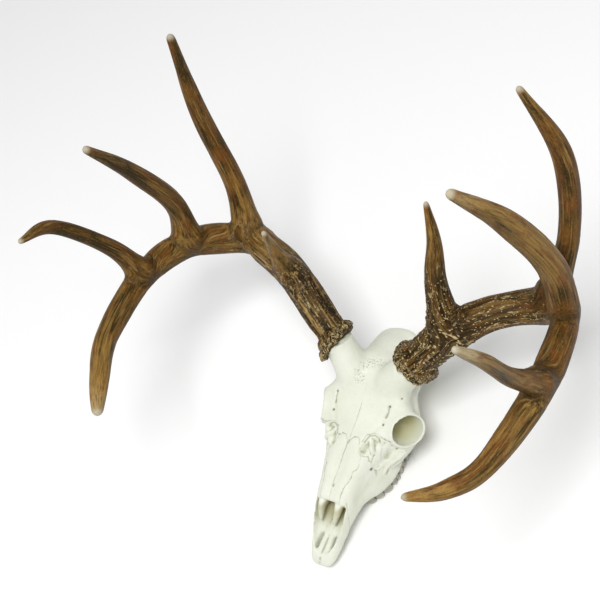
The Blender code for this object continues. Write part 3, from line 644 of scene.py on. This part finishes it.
def melt(made, passes, share):
    """Smooth an object, each corner by its own share of the full amount."""
    corners = corners_mm(made.data)
    set_corners_mm(made.data, relaxed(made.data, corners, passes, share(corners)))


def head_share(corners):
    """How strongly the forms melt: fully on top of the head, little elsewhere."""
    top = ramp(corners[:, 1], 138, 172) * ramp(corners[:, 2], 72, 90)
    back = ramp(corners[:, 1], 232, 262) * ramp(corners[:, 2], 52, 72)
    low = FACE_BLEND / HEAD_BLEND
    return low + (1 - low) * np.maximum(top, 0.8 * back)


def distance_to_path(corners, path):
    """Least distance to a path in space, measured only for the corners within 25 mm of its box."""
    close = ((corners > path.min(0) - 25) & (corners < path.max(0) + 25)).all(1)
    least = np.full(len(corners), FAR)
    least[close] = distance_to_lines(corners[close], [path])
    return least


def on_top(corners, x, y):
    """The highest point of the surface close to x, y."""
    close = np.hypot(corners[:, 0] - x, corners[:, 1] - y) < 1.6
    return (x, y, corners[close, 2].max())


def work_marks(corners):
    """How far each corner is raised, or sunk if below 0, by the marks."""
    moved = np.zeros(len(corners))
    for side in (1, -1):
        for points, width, height in MARKS.values():
            path = []
            for point in points:
                placed = mirrored(point, side)
                path.append(placed if len(placed) == 3 else on_top(corners, *placed))
            apart = distance_to_path(corners, np.array(path))
            moved += height * (1 - ramp(apart, 0.15 * width, 1.25 * width))
    return moved


def pit_distance(corners):
    """Distance in mm from each corner to the edge of the nearest small hole."""
    pit = np.full(len(corners), CLEAR)
    for x, y, z, radius in PITS:
        for side in (1, -1) if x > 0 else (1,):
            pit = np.minimum(pit, np.linalg.norm(corners - (side * x, y, z), axis=1) - radius)
    return pit


def set_on_floor(mesh, corners):
    """Move the upper part of the face a little sideways, and nothing below the floor."""
    ys, shifts = np.array(LEAN, float).T
    shift = np.interp(corners[:, 1], ys, shifts)
    corners[:, 0] += shift * ramp(corners[:, 2], *LEAN_LEVELS)
    corners[:, 2] = np.maximum(corners[:, 2], 0.0)
    set_corners_mm(mesh, corners)


def eye_socket_depth(corners):
    """0 outside the eye sockets, rising to 1 at their bottom."""
    depth = np.zeros(len(corners))
    for side in (1, -1):
        centre, facing = (np.array(axis) for axis in orbit_axes(side)[:2])
        inside = (corners - centre) @ facing
        apart = np.linalg.norm(corners - centre - inside[:, None] * facing, axis=1)
        here = ramp(-inside, -2, 26) * (1 - ramp(apart, ORBIT_RADIUS + 0.3, ORBIT_RADIUS + 1.5))
        depth = np.maximum(depth, here)
    return depth


def nose_depth(corners, normals):
    """0 outside the nose, rising to 1 deep inside it."""
    x, y, z = corners.T
    within = 1 - ramp(np.abs(x), 19.5, 21.5)
    deep = ramp(y, 38, 66) * (1 - ramp(y, 100, 110))
    return deep * within * (1 - ramp(z, 50, 54)) * ramp(z, 20, 25) * (normals[:, 1] < 0.75)


def make_skull():
    """The skull's whole skin, without its teeth."""
    skull = fused(bulk_forms, "skull", SKULL_VOXEL)
    melt(skull, HEAD_BLEND, head_share)
    for forms, name, operation in ((fine_forms, "fine", "UNION"), (cut_forms, "hollows", "DIFFERENCE"),
                                   (nose_scrolls, "scrolls", "UNION")):
        combine(skull, fused(forms, name, SKULL_VOXEL), operation)
    fuse(skull, SKULL_VOXEL)
    even_out(skull, EDGE_BLEND)
    mesh = skull.data
    corners = corners_mm(mesh)
    normals = corner_normals(mesh)
    suture = suture_distance(corners, normals)
    pit = pit_distance(corners)
    speckled = 1 - ramp(distance_to_lines(corners[:, :2], [SPECKLED]), 2, 9)
    speckled *= normals[:, 2] > 0.3
    lumps = 0.45 * noise(corners / 15, 1) + 0.2 * noise(corners / 6, 2) + 0.07 * noise(corners / 2.4, 3)
    sunk = 0.45 * (1 - ramp(suture, 0.2, 1.5)) + 2.2 * (1 - ramp(pit, -1.6, 0.8))
    sunk += 0.5 * speckled * ramp(noise(corners / 1.3, 31), 0.1, 0.6)
    socket = eye_socket_depth(corners)
    nose = nose_depth(corners, normals)
    corners += normals * (lumps * (1 - 0.7 * socket) + work_marks(corners) - sunk)[:, None]
    set_on_floor(mesh, corners)
    # The recess and crease measures, the eye socket and nose depths and the pit distance also darken the
    # bone's colour, as painted shade.
    store(mesh, {"recess_shade": sunk_below(mesh, corners, 40), "crease_shade": sunk_below(mesh, corners, 4),
                 "suture": suture, "pit": pit, "speckled": speckled, "eye_socket": socket,
                 "nose": nose})
    mesh.shade_smooth()
    return skull


# ---------------------------------------------------------------------- teeth
def tooth_row_x(y):
    """Distance of the tooth row's outer face from the midplane."""
    if y < WIDEST_TOOTH:
        return TOOTH_ROW_REACH - 16 * ((WIDEST_TOOTH - y) / 39) ** 2
    return TOOTH_ROW_REACH - 2.5 * ((y - WIDEST_TOOTH) / 36) ** 2


def add_tooth(shell, side, front, length, lobes, width):
    """One cheek tooth: an upright block with ribs outside, lobes inside and worn crescents below."""
    around = 48
    rings = []
    for z in (CROWN + 9, CROWN + 3, CROWN, 6.5, 5.0, 3.5, 2.2, 1.2, 0.4, 0.0):
        low = max(0.0, 1 - z / 3.5)
        neck = max(0.0, min(1.0, (z - 3) / 5))
        ring = []
        for k in range(around):
            angle = 2 * math.pi * k / around
            run = math.cos(angle)
            reach = math.sin(angle)
            fill = 0.97 - 0.12 * low - 0.06 * neck
            y = front + length * (0.5 + 0.5 * squared_off(run, 0.75) * fill)
            share = (y - front) / length
            outer = tooth_row_x(y)
            rib = abs(math.sin(math.pi * share * lobes))
            point = rib ** 1.6
            if reach > 0:
                edge = 0.5 * width + (1.9 * rib - 1.6) * (1 - 0.3 * low) - 0.7 * low
                x = outer - 0.5 * width + edge * abs(reach) ** 0.35
                lift = 3.8 * (1 - point)
            else:
                edge = 0.5 * width + 1.5 * rib - 1.6 - 0.8 * low
                x = outer - 0.5 * width - edge * abs(reach) ** 0.6
                lift = 1.6 * (1 - point)
            ring.append((side * x, y, z + lift * max(0.0, 1 - z / 4.2)))
        rings.append(ring)
    add_loft(shell, rings)


def make_teeth(name, side):
    """The row of cheek teeth on one side."""
    shell = bmesh.new()
    y = TOOTH_FRONT
    for number, length in enumerate(TOOTH_LENGTHS):
        width = 8.5 + 5.5 * min(1.0, (y - TOOTH_FRONT) / 48.0)
        add_tooth(shell, side, y, length, 1 if number < 3 else 2, width)
        y += length
    teeth = new_object(shell, name)
    divided = teeth.modifiers.new("Divide", "SUBSURF")
    divided.levels = 1
    divided.render_levels = 1
    settle(teeth)
    corners = corners_mm(teeth.data)
    set_on_floor(teeth.data, corners)
    # The hollow measure and the height also darken the enamel's colour: painted shade in its hollows and
    # towards the gum.
    store(teeth.data, {"hollow": sunk_below(teeth.data, corners, 10), "height": corners[:, 2]})
    teeth.data.shade_smooth()
    return teeth


# -------------------------------------------------------------------- antlers
def centre_line(rows, step=1.0):
    """A finely sampled line through rows, with frames that turn as little as they can."""
    curve, marks = curve_through(rows, step)
    path = curve[:, :3]
    ahead = tangents(path)
    across = np.empty_like(path)
    start = np.cross(ahead[0], (0.0, 1.0, 0.0))
    across[0] = start / np.linalg.norm(start)
    for k in range(1, len(path)):
        turned = across[k - 1] - (across[k - 1] @ ahead[k]) * ahead[k]
        across[k] = turned / np.linalg.norm(turned)
    steps = np.linalg.norm(np.diff(path, axis=0), axis=1)
    distance = np.concatenate([[0], np.cumsum(steps)])
    return {"path": path, "ahead": ahead, "across": across, "upward": np.cross(ahead, across),
            "radius": curve[:, 3].copy(), "distance": distance, "marks": marks}


def antler_facing(antler):
    """The way an antler's burr faces, away from the skull."""
    facing = np.array(mirrored(antler["burr_facing"], antler["side"]), float)
    return facing / np.linalg.norm(facing)


def antler_lines(antler):
    """The lines of the beam and of each tine, with their radii as built."""
    side = antler["side"]
    beam = centre_line([mirrored(row, side) for row in antler["beam"]])
    beam["offset"] = 0.0
    lines = [beam]
    for fork, rows in antler["tines"]:
        tine_rows = [antler["beam"][fork][:3] + (rows[0][3] + 2,)] + rows
        line = centre_line([mirrored(row, side) for row in tine_rows])
        beyond = np.clip(line["distance"] - antler["beam"][fork][3], 0, None)
        flare = min(FORK_FLARE, antler["beam"][fork][3] - rows[0][3])
        line["radius"] += flare * np.exp(-beyond / FLARE_LENGTH)
        line["radius"] = np.minimum(line["radius"], 0.9 * antler["beam"][fork][3] + 0.8 * line["distance"])
        line["offset"] = beam["distance"][beam["marks"][fork]]
        lines.append(line)
    for line in lines:
        tip = TIP_SHARE * line["radius"][-1]
        left = np.clip((line["distance"][-1] - line["distance"]) / tip, 0, 1)
        line["radius"] *= np.sqrt(np.clip(1 - (1 - left) ** 2, 0.03, 1))
        line["length"] = line["distance"][-1]
    return lines


def tube_tree(material):
    """Geometry Nodes that sweep a round tube along a curve, as thick as the curve's radius."""
    tree = bpy.data.node_groups.new("tube_along_line", "GeometryNodeTree")
    tree.interface.new_socket("Line", in_out="INPUT", socket_type="NodeSocketGeometry")
    sides = tree.interface.new_socket("Sides", in_out="INPUT", socket_type="NodeSocketInt")
    tree.interface.new_socket("Tube", in_out="OUTPUT", socket_type="NodeSocketGeometry")
    given = tree.nodes.new("NodeGroupInput")
    result = tree.nodes.new("NodeGroupOutput")
    circle, radius, sweep, realize, paint = (tree.nodes.new("GeometryNode" + kind) for kind in (
        "CurvePrimitiveCircle", "InputRadius", "CurveToMesh", "RealizeInstances", "SetMaterial"))
    circle.inputs["Radius"].default_value = 1.0
    sweep.inputs["Fill Caps"].default_value = True
    paint.inputs["Material"].default_value = material
    for source, output, target, entry in (
            (given, "Line", sweep, "Curve"), (given, "Sides", circle, "Resolution"),
            (circle, "Curve", sweep, "Profile Curve"), (radius, "Radius", sweep, "Scale"),
            (sweep, "Mesh", realize, "Geometry"), (realize, "Geometry", paint, "Geometry"),
            (paint, "Geometry", result, "Tube")):
        tree.links.new(source.outputs[output], target.inputs[entry])
    return tree, sides.identifier


def swept_tube(line, first, tree, sides_socket):
    """The mesh of a tube along a line, leaving out its first samples."""
    curve = bpy.data.curves.new("line", "CURVE")
    curve.dimensions = "3D"
    spline = curve.splines.new("POLY")
    last = len(line["path"]) - 1
    picks = [*range(first, last, 2), last]
    spline.points.add(len(picks) - 1)
    for point, k in zip(spline.points, picks):
        point.co = (*((line["path"][k] - np.array(ORIGIN)) * MM), 1)
        point.radius = line["radius"][k] * MM
    made = add_object("line", curve)
    sweep = made.modifiers.new("Sweep", "NODES")
    sweep.node_group = tree
    sweep[sides_socket] = TUBE_SIDES
    mesh = resulting_mesh(made)
    bpy.data.objects.remove(made)
    return mesh


def burr_forms(shell, antler):
    """The lumpy crown of antler round its foot."""
    side = antler["side"]
    facing = Vector(mirrored(antler["burr_facing"], side)).normalized()
    foot = Vector(mirrored(antler["beam"][0][:3], side))
    across = facing.cross(Vector((0, 0, 1))).normalized()
    upward = across.cross(facing)
    lumpy = antler["knob_height"] / 3
    rings = []
    for height, share in zip(BURR_HEIGHTS, antler["burr_shares"]):
        ring = []
        for k in range(96):
            angle = 2 * math.pi * k / 96
            lumps = 0.05 * math.sin(5 * angle + side) + 0.035 * math.sin(11 * angle + 2 * side)
            lumps += 0.03 * math.sin(17 * angle + 3)
            radius = BURR_RADIUS * share * (1 + (lumpy * lumps if share > 0.9 else 0))
            ring.append(foot + facing * height
                        + radius * (math.cos(angle) * across + math.sin(angle) * upward))
        rings.append(ring)
    add_loft(shell, rings)


def nearest_on_lines(corners, lines):
    """For each corner and each line: nearest sample, and distance beyond the line's surface."""
    nearest = np.empty((len(lines), len(corners)), int)
    beyond = np.empty((len(lines), len(corners)))
    for number, line in enumerate(lines):
        path = line["path"]
        square = (path ** 2).sum(1)
        for start in range(0, len(corners), BATCH):
            part = corners[start:start + BATCH]
            apart = (part ** 2).sum(1)[:, None] - 2 * part @ path.T + square
            pick = apart.argmin(1)
            nearest[number, start:start + BATCH] = pick
            gap = np.sqrt(np.maximum(apart[np.arange(len(part)), pick], 0))
            beyond[number, start:start + BATCH] = gap - line["radius"][pick]
    return nearest, beyond


def shares_of_lines(beyond):
    """How much each corner belongs to each line, fading with its distance past the surface."""
    weight = np.exp(-np.clip(beyond + 1.0, 0, None) / SHARE_FADE)
    return weight / weight.sum(0)


def work_antler(corners, normals, antler, lines):
    """How far grooves, ridges and pearls move an antler's corners, and what its material reads."""
    nearest, beyond = nearest_on_lines(corners, lines)
    weight = shares_of_lines(beyond)
    grain = np.zeros((len(corners), 3))
    to_tip, thick, pale, smooth_brow = np.zeros((4, len(corners)))
    beam_tones, *tine_tones = antler["tones"]
    for number, (share, pick, line) in enumerate(zip(weight, nearest, lines)):
        apart = corners - line["path"][pick]
        gone = line["distance"][pick]
        left = line["length"] - gone
        grain[:, 0] += share * (apart * line["across"][pick]).sum(1)
        grain[:, 1] += share * (apart * line["upward"][pick]).sum(1)
        grain[:, 2] += share * (gone + line["offset"])
        to_tip += share * left
        thick += share * line["radius"][pick]
        along = (gone if number == 0 else line["offset"]) / lines[0]["length"]
        tone = np.interp(along, BEAM_TONE_PLACES, beam_tones)
        if number:
            tone = tone + (tine_tones[number - 1] - tone) * ramp(gone, *TINE_TONE_START)
        pale += share * (tone + antler["pale_tips"][number] * (1 - ramp(left, *PALE_REACH)))
        if number == 1:
            smooth_brow += share * ramp(gone, *antler["smooth_brow"])
    foot = np.array(mirrored(antler["beam"][0][:3], antler["side"]))
    from_burr = np.linalg.norm(corners - foot, axis=1)
    near_burr = 1 - ramp(from_burr, *BEAD_REACH)
    rough = 0.12 + 0.88 * (1 - ramp(from_burr, *ROUGH_REACH))
    rough *= ramp(to_tip, 8, 70) * (1 - 0.9 * smooth_brow)
    fork = 1 - weight.max(0)
    warp = 0.4 * noise(grain / (16, 16, 40), 20)[:, None]
    streak = grain / GROOVE_PITCH + warp
    channel = 1 - ramp(np.abs(noise(streak, 11)), 0.0, 0.34)
    fine = 1 - ramp(np.abs(noise(streak * (1.7, 1.7, 1.9), 12)), 0.0, 0.30)
    swell = noise(grain / (17, 17, 42), 13)
    apart, number = scattered(grain / PEARL_PITCH, 40)
    pearl = np.clip(1 - (apart / PEARL_SIZE) ** 2, 0, 1) * (number > 0.35)
    pearl *= ramp(near_burr, 0.02, 0.3) * (1 - smooth_brow)
    rim = 1 - ramp(np.abs(from_burr - BURR_RADIUS), 3, 9)
    low = np.abs((corners - foot) @ antler_facing(antler) - 0.5 * BURR_HEIGHT)
    rim *= 1 - ramp(low, 4, 10)
    knob = np.clip(1 - (scattered(corners / KNOB_PITCH, 60)[0] / KNOB_SIZE) ** 2, 0, 1)
    slender = np.clip(thick / 15, 0.25, 1)
    depth = (0.75 * channel + 0.35 * fine) * (1 - 0.6 * fork)
    height = 1.2 * swell * slender
    height -= slender * (0.22 + 1.05 * rough) * (depth - 0.40)
    height += 1.5 * pearl * slender * antler["beaded"] + antler["knob_height"] * rim * (knob - 0.35)
    # The channel also darkens the grooves' colour, as painted shade.
    # The fork share also darkens the crotches where the lines meet, as painted shade.
    kept = {"grain": grain, "channel": 0.7 * channel + 0.3 * fine, "to_tip": to_tip, "rough": rough,
            "pearl": pearl, "fork": fork, "pale": pale, "rim": rim, "knob": knob,
            "beaded": np.full(len(corners), antler["beaded"]),
            # Painted shade: darker where the surface turns downwards.
            "underside_shade": 1 - ramp(normals[:, 2], -0.55, 0.25)}
    return kept, height


def fork_share(corners, lines):
    """How strongly an antler's surface is smoothed: most where its lines meet."""
    _, beyond = nearest_on_lines(corners, lines)
    fork = 1 - shares_of_lines(beyond).max(0)
    return 0.08 + 0.92 * ramp(fork, 0.02, 0.30)


def make_antler(name, antler, tree, sides_socket):
    """One whole antler, grooved, with pearls near its burr."""
    lines = antler_lines(antler)
    shell = bmesh.new()
    burr_forms(shell, antler)
    made = new_object(shell, name)
    joined = bmesh.new()
    joined.from_mesh(made.data)
    for number, line in enumerate(lines):
        joined.from_mesh(swept_tube(line, 6 if number == 0 else 0, tree, sides_socket))
    bmesh.ops.recalc_face_normals(joined, faces=joined.faces)
    joined.to_mesh(made.data)
    joined.free()
    fuse(made, ANTLER_VOXEL)
    melt(made, FORK_BLEND, lambda corners: fork_share(corners, lines))
    mesh = made.data
    corners = corners_mm(mesh)
    normals = corner_normals(mesh)
    kept, height = work_antler(corners, normals, antler, lines)
    set_corners_mm(mesh, corners + normals * height[:, None])
    store(mesh, kept)
    mesh.shade_smooth()
    return made


# ------------------------------------------------------------------ materials
class Shader:
    """Adds and joins a material's nodes, and lays one colour over another."""

    def __init__(self, name):
        self.material = bpy.data.materials.new(name)
        self.material.use_nodes = True
        self.tree = self.material.node_tree
        self.surface = self.tree.nodes["Principled BSDF"]
        self.colour = None

    def put(self, value, socket):
        """Link a socket to another or to a stored number's name, or set it to a plain value."""
        if isinstance(value, str):
            value = self.attribute(value)
        if isinstance(value, bpy.types.NodeSocket):
            self.tree.links.new(value, socket)
        else:
            socket.default_value = value

    def node(self, kind, **values):
        """Add a node and put values into its inputs, whose names have _ for a space."""
        node = self.tree.nodes.new("ShaderNode" + kind)
        for name, value in values.items():
            self.put(value, node.inputs[name.replace("_", " ")])
        return node

    def attribute(self, name, output="Fac"):
        node = self.node("Attribute")
        node.attribute_name = name
        return node.outputs[output]

    def place(self):
        return self.node("TexCoord").outputs["Object"]

    def scaled(self, vector, scale):
        return self.node("Mapping", Vector=vector, Scale=scale).outputs["Vector"]

    def noise(self, vector, scale, detail=4.0, roughness=0.55):
        node = self.node("TexNoise", Vector=vector, Scale=scale, Detail=detail, Roughness=roughness)
        return node.outputs["Fac"]

    def maths(self, operation, first, second=0.0):
        node = self.node("Math")
        node.operation = operation
        self.put(first, node.inputs[0])
        self.put(second, node.inputs[1])
        return node.outputs[0]

    def times(self, first, *others):
        for other in others:
            first = self.maths("MULTIPLY", first, other)
        return first

    def ramp(self, value, low, high, start=0.0, end=1.0):
        node = self.node("MapRange", Value=value, From_Min=low, From_Max=high, To_Min=start, To_Max=end)
        node.interpolation_type = "SMOOTHSTEP"
        return node.outputs["Result"]

    def thin_line(self, value, middle, inner, outer):
        """1 where a noise passes its middle value, so that it draws winding lines."""
        off = self.maths("ABSOLUTE", self.maths("SUBTRACT", value, middle))
        return self.ramp(off, inner, outer, 1.0, 0.0)

    def mix(self, factor, first, second):
        node = self.node("Mix")
        node.data_type = "RGBA"
        for socket, value in ((0, factor), (6, first), (7, second)):
            self.put((*value, 1) if isinstance(value, tuple) else value, node.inputs[socket])
        return node.outputs[2]

    def layer(self, colour, *shares):
        """Lay a colour over what is there, by the product of its shares."""
        self.colour = self.mix(self.times(*shares), self.colour, colour)

    def spots(self, vector, core, edge, least):
        node = self.node("TexVoronoi", Vector=vector, Scale=1.0)
        dot = self.ramp(node.outputs["Distance"], core, edge, 1.0, 0.0)
        return self.times(dot, self.maths("GREATER_THAN", node.outputs["Color"], least))

    def bump(self, height, distance, strength=1.0, **under):
        node = self.node("Bump", Height=height, Distance=distance * MM, Strength=strength, **under)
        return node.outputs["Normal"]

    def finished(self, roughness, relief):
        """Join the colour, roughness and relief to the surface."""
        for name, value in (("Base Color", self.colour), ("Roughness", roughness), ("Normal", relief)):
            self.put(value, self.surface.inputs[name])
        return self.material


def bone_material():
    """Dry bone: greenish cream with khaki painted shade where it is sunk and in its holes, and lines where
    bones meet.
    """
    bone = Shader("dry_bone")
    place = bone.place()
    blotch = bone.noise(place, 22, 5)
    grainy = bone.noise(place, 260, 4, 0.6)
    bone.colour = bone.mix(bone.ramp(blotch, 0.35, 0.7), (0.75, 0.765, 0.67), (0.69, 0.71, 0.60))
    bone.layer((0.60, 0.61, 0.48), bone.ramp(grainy, 0.5, 0.72, 0.0, 0.22))
    # Painted shade: khaki-grey where the surface lies below its smoothed form.
    bone.layer((0.44, 0.44, 0.28), bone.ramp("recess_shade", 0.35, 2.6, 0.0, 0.75))
    # Painted shade in fine creases.
    bone.layer((0.36, 0.36, 0.25), bone.ramp("crease_shade", 0.06, 0.35, 0.0, 0.65))
    # Painted shade, olive, deepening towards the bottom of each eye socket.
    bone.layer((0.42, 0.40, 0.21), "eye_socket", 0.85)
    # Painted shade, khaki, deep inside the nose.
    bone.layer((0.36, 0.32, 0.13), "nose", 0.75)
    seam = bone.ramp("suture", 0.15, 0.85, 1.0, 0.0)
    bone.layer((0.33, 0.33, 0.25), seam, bone.ramp(bone.noise(place, 60, 2), 0.3, 0.6, 0.25, 0.8))
    # Painted shade in the small holes for vessels.
    bone.layer((0.17, 0.17, 0.11), bone.ramp("pit", -0.9, 0.5, 1.0, 0.0), 0.75)
    dots = bone.ramp(bone.noise(place, 480, 1), 0.55, 0.66)
    bone.layer((0.30, 0.32, 0.24), dots, "speckled", 0.7)
    relief = bone.bump(bone.noise(place, 620, 3), 0.22, 0.5, Normal=bone.bump(grainy, 0.5, 0.35))
    return bone.finished(bone.ramp(blotch, 0.3, 0.7, 0.5, 0.62), relief)


def tooth_material():
    """Enamel: cream, grey-brown in its hollows as painted shade, and darker near the gum as painted shade
    and stain.
    """
    tooth = Shader("enamel")
    place = tooth.place()
    blotch = tooth.ramp(tooth.noise(place, 90, 4), 0.4, 0.65)
    tooth.colour = tooth.mix(blotch, (0.56, 0.55, 0.47), (0.42, 0.41, 0.33))
    # Painted shade in the hollows between lobes and between teeth.
    tooth.layer((0.10, 0.09, 0.06), tooth.ramp("hollow", 0.0, 0.3, 0.0, 0.9))
    # Darker towards the gum, where tooth meets jaw: partly painted shade, partly gum-line stain.
    tooth.layer((0.22, 0.21, 0.16), tooth.ramp("height", 2, 7.5, 0.0, 0.65))
    return tooth.finished(0.34, tooth.bump(tooth.noise(place, 500, 2), 0.15, 0.4))


def antler_material():
    """Antler: olive and rust brown under tan streaks, darker and beaded with cream near the burr, with
    painted shade in its grooves, forks and downward faces.
    """
    horn = Shader("antler")
    grain = horn.attribute("grain", "Vector")

    def grained(across, along, detail=4, roughness=0.6):
        """Noise that follows the antler, by its changes per mm across and along."""
        return horn.noise(horn.scaled(grain, (across, across, along)), 1.0, detail, roughness)

    patches = grained(0.045, 0.020, 5, 0.55)
    streaks = grained(0.20, 0.016, 6)
    dark_lines = grained(0.62, 0.011)
    pale_lines = grained(0.50, 0.014)
    mottle = grained(0.75, 0.42)
    rust = grained(0.10, 0.035, 3, 0.55)
    horn.colour = horn.mix(horn.ramp(patches, 0.40, 0.60), (0.050, 0.032, 0.006), (0.185, 0.088, 0.018))
    shift = horn.times(horn.maths("SUBTRACT", "pale", 0.5), 0.42)
    horn.layer((0.36, 0.218, 0.062), horn.ramp(horn.maths("ADD", streaks, shift), 0.42, 0.64), 0.85)
    for colour, value, low, high, most in (
            ((0.54, 0.45, 0.28), "pale", 0.95, 1.9, 0.75), ((0.20, 0.068, 0.014), rust, 0.52, 0.64, 0.6),
            ((0.42, 0.28, 0.105), pale_lines, 0.52, 0.68, 0.55),
            ((0.026, 0.014, 0.002), dark_lines, 0.48, 0.70, 0.6),
            ((0.42, 0.28, 0.10), mottle, 0.54, 0.72, 0.4),
            ((0.030, 0.019, 0.004), mottle, 0.46, 0.30, 0.35)):
        horn.layer(colour, horn.ramp(value, low, high, 0.0, most))
    horn.layer((0.032, 0.019, 0.004), "rough", 0.6)
    # Painted shade down in the grooves, stronger where the antler is rough.
    deep = horn.maths("ADD", horn.times("rough", 0.66), 0.2)
    horn.layer((0.014, 0.009, 0.003), horn.ramp("channel", 0.25, 0.85), deep)
    combed = horn.maths("SUBTRACT", 0.8, horn.times("beaded", 0.55))
    horn.layer((0.42, 0.28, 0.11), horn.ramp("channel", 0.22, 0.04), horn.ramp("rough", 0.2, 0.7),
               horn.ramp(pale_lines, 0.44, 0.56), combed)
    # Painted shade on the antler's downward faces.
    horn.layer((0.034, 0.020, 0.005), "underside_shade", 0.6)
    # Painted shade in the crotches where tines leave the beam.
    horn.layer((0.040, 0.024, 0.008), horn.ramp("fork", 0.05, 0.5, 0.0, 0.5))
    vein = horn.times(horn.thin_line(grained(0.15, 0.017, 4, 0.5), 0.5, 0.006, 0.018),
                      horn.ramp(grained(0.13, 0.085, 3, 0.55), 0.45, 0.53),
                      horn.ramp("rough", 0.15, 0.5))
    horn.layer((0.58, 0.46, 0.24), vein, 0.85)
    beads = horn.times(horn.spots(horn.scaled(grain, (0.36, 0.36, 0.30)), 0.20, 0.30, 0.42),
                       "beaded", horn.ramp("rough", 0.28, 0.65))
    horn.layer((0.62, 0.52, 0.30), beads, 0.88)
    horn.layer((0.60, 0.48, 0.25), horn.ramp("pearl", 0.4, 0.8), "beaded", 0.85)
    horn.layer((0.024, 0.016, 0.005), "rim", 0.75)
    knob = horn.ramp("knob", 0.35, 0.8)
    horn.layer((0.50, 0.37, 0.17), knob, "rim", horn.ramp(mottle, 0.44, 0.56), 0.9)
    squiggle = horn.thin_line(grained(0.24, 0.24, 2, 0.55), 0.52, 0.015, 0.04)
    horn.layer((0.58, 0.47, 0.26), squiggle, "rim", 0.85)
    tip = horn.ramp("to_tip", 0.5, 9.0, 1.0, 0.0)
    horn.layer((0.54, 0.50, 0.39), tip, 0.8)
    relief = horn.maths("SUBTRACT", horn.times(vein, 1.2), horn.times(dark_lines, 2.0))
    relief = horn.bump(horn.maths("ADD", relief, horn.times(beads, 1.4)), 0.7, 0.8)
    horn.surface.inputs["Specular IOR Level"].default_value = 0.2
    return horn.finished(horn.ramp(streaks, 0.3, 0.7, 0.34, 0.52), relief)


# ---------------------------------------------------------------- camera, light
def add_camera():
    """The photo's view: from in front, above and to the left, rolled a little."""
    swing, tip, roll = (math.radians(angle) for angle in CAMERA_TURN)
    back = Vector((math.sin(swing) * math.cos(tip), -math.sin(tip), math.cos(swing) * math.cos(tip)))
    level = Vector((math.cos(swing), 0, -math.sin(swing)))
    upright = back.cross(level)
    across = math.cos(roll) * level + math.sin(roll) * upright
    upward = -math.sin(roll) * level + math.cos(roll) * upright
    place = Vector(CAMERA_TARGET) + CAMERA_SLIDE[0] * across + CAMERA_SLIDE[1] * upward
    place += CAMERA_DISTANCE * back
    turn = Matrix((across, upward, back)).transposed().to_4x4()
    data = bpy.data.cameras.new("camera")
    data.sensor_width = 36
    data.lens = 36 * LENS_PIXELS / 600
    data.clip_end = 50
    camera = add_object("camera", data)
    camera.matrix_world = Matrix.Translation((place - Vector(ORIGIN)) * MM) @ turn
    bpy.context.scene.camera = camera


def add_area_light(name, place, power, size):
    """A soft square light that looks at the middle of the object."""
    data = bpy.data.lights.new(name, "AREA")
    data.energy = power
    data.size = size
    light = add_object(name, data)
    light.location = place
    light.rotation_euler = (Vector((0, 0, 0.15)) - Vector(place)).to_track_quat("-Z", "Y").to_euler()


def add_studio():
    """A pale floor, an even pale sky and two soft lights."""
    shell = bmesh.new()
    bmesh.ops.create_circle(shell, cap_ends=True, segments=96, radius=9.0)
    mesh = bpy.data.meshes.new("floor")
    shell.to_mesh(mesh)
    shell.free()
    floor = add_object("floor", mesh)
    paint = Shader("pale_floor")
    paint.surface.inputs["Base Color"].default_value = (0.93, 0.93, 0.93, 1)
    paint.surface.inputs["Roughness"].default_value = 0.9
    floor.data.materials.append(paint.material)
    world = bpy.data.worlds.new("studio")
    world.use_nodes = True
    world.node_tree.nodes["Background"].inputs["Color"].default_value = (1, 1, 1, 1)
    world.node_tree.nodes["Background"].inputs["Strength"].default_value = 0.45
    bpy.context.scene.world = world
    add_area_light("key", (0.75, -0.65, 2.4), 36, 0.9)
    add_area_light("fill", (-1.8, -0.6, 1.6), 6, 1.4)
    bpy.context.scene.view_settings.view_transform = "Standard"
    bpy.context.scene.view_settings.look = "Medium High Contrast"


def dress(piece, material, nodes=()):
    """Give a piece its material, say what it rides on, and hide the imported parts that it stands for."""
    piece.data.materials.clear()
    piece.data.materials.append(material)
    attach(piece, "root")
    if nodes:
        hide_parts(*nodes)


def main():
    """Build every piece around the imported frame."""
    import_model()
    add_camera()
    add_studio()
    bone = bone_material()
    skull = make_skull()
    dress(skull, bone, SKULL_BONES)
    enamel = tooth_material()
    for name, side in (("teeth_left", 1), ("teeth_right", -1)):
        dress(make_teeth(name, side), enamel)
    horn = antler_material()
    tree, sides_socket = tube_tree(horn)
    for name, antler in ANTLERS.items():
        made = make_antler("antler_" + name, antler, tree, sides_socket)
        dress(made, horn, [f"antler_{name}_{stretch}" for stretch in STRETCHES])


main()
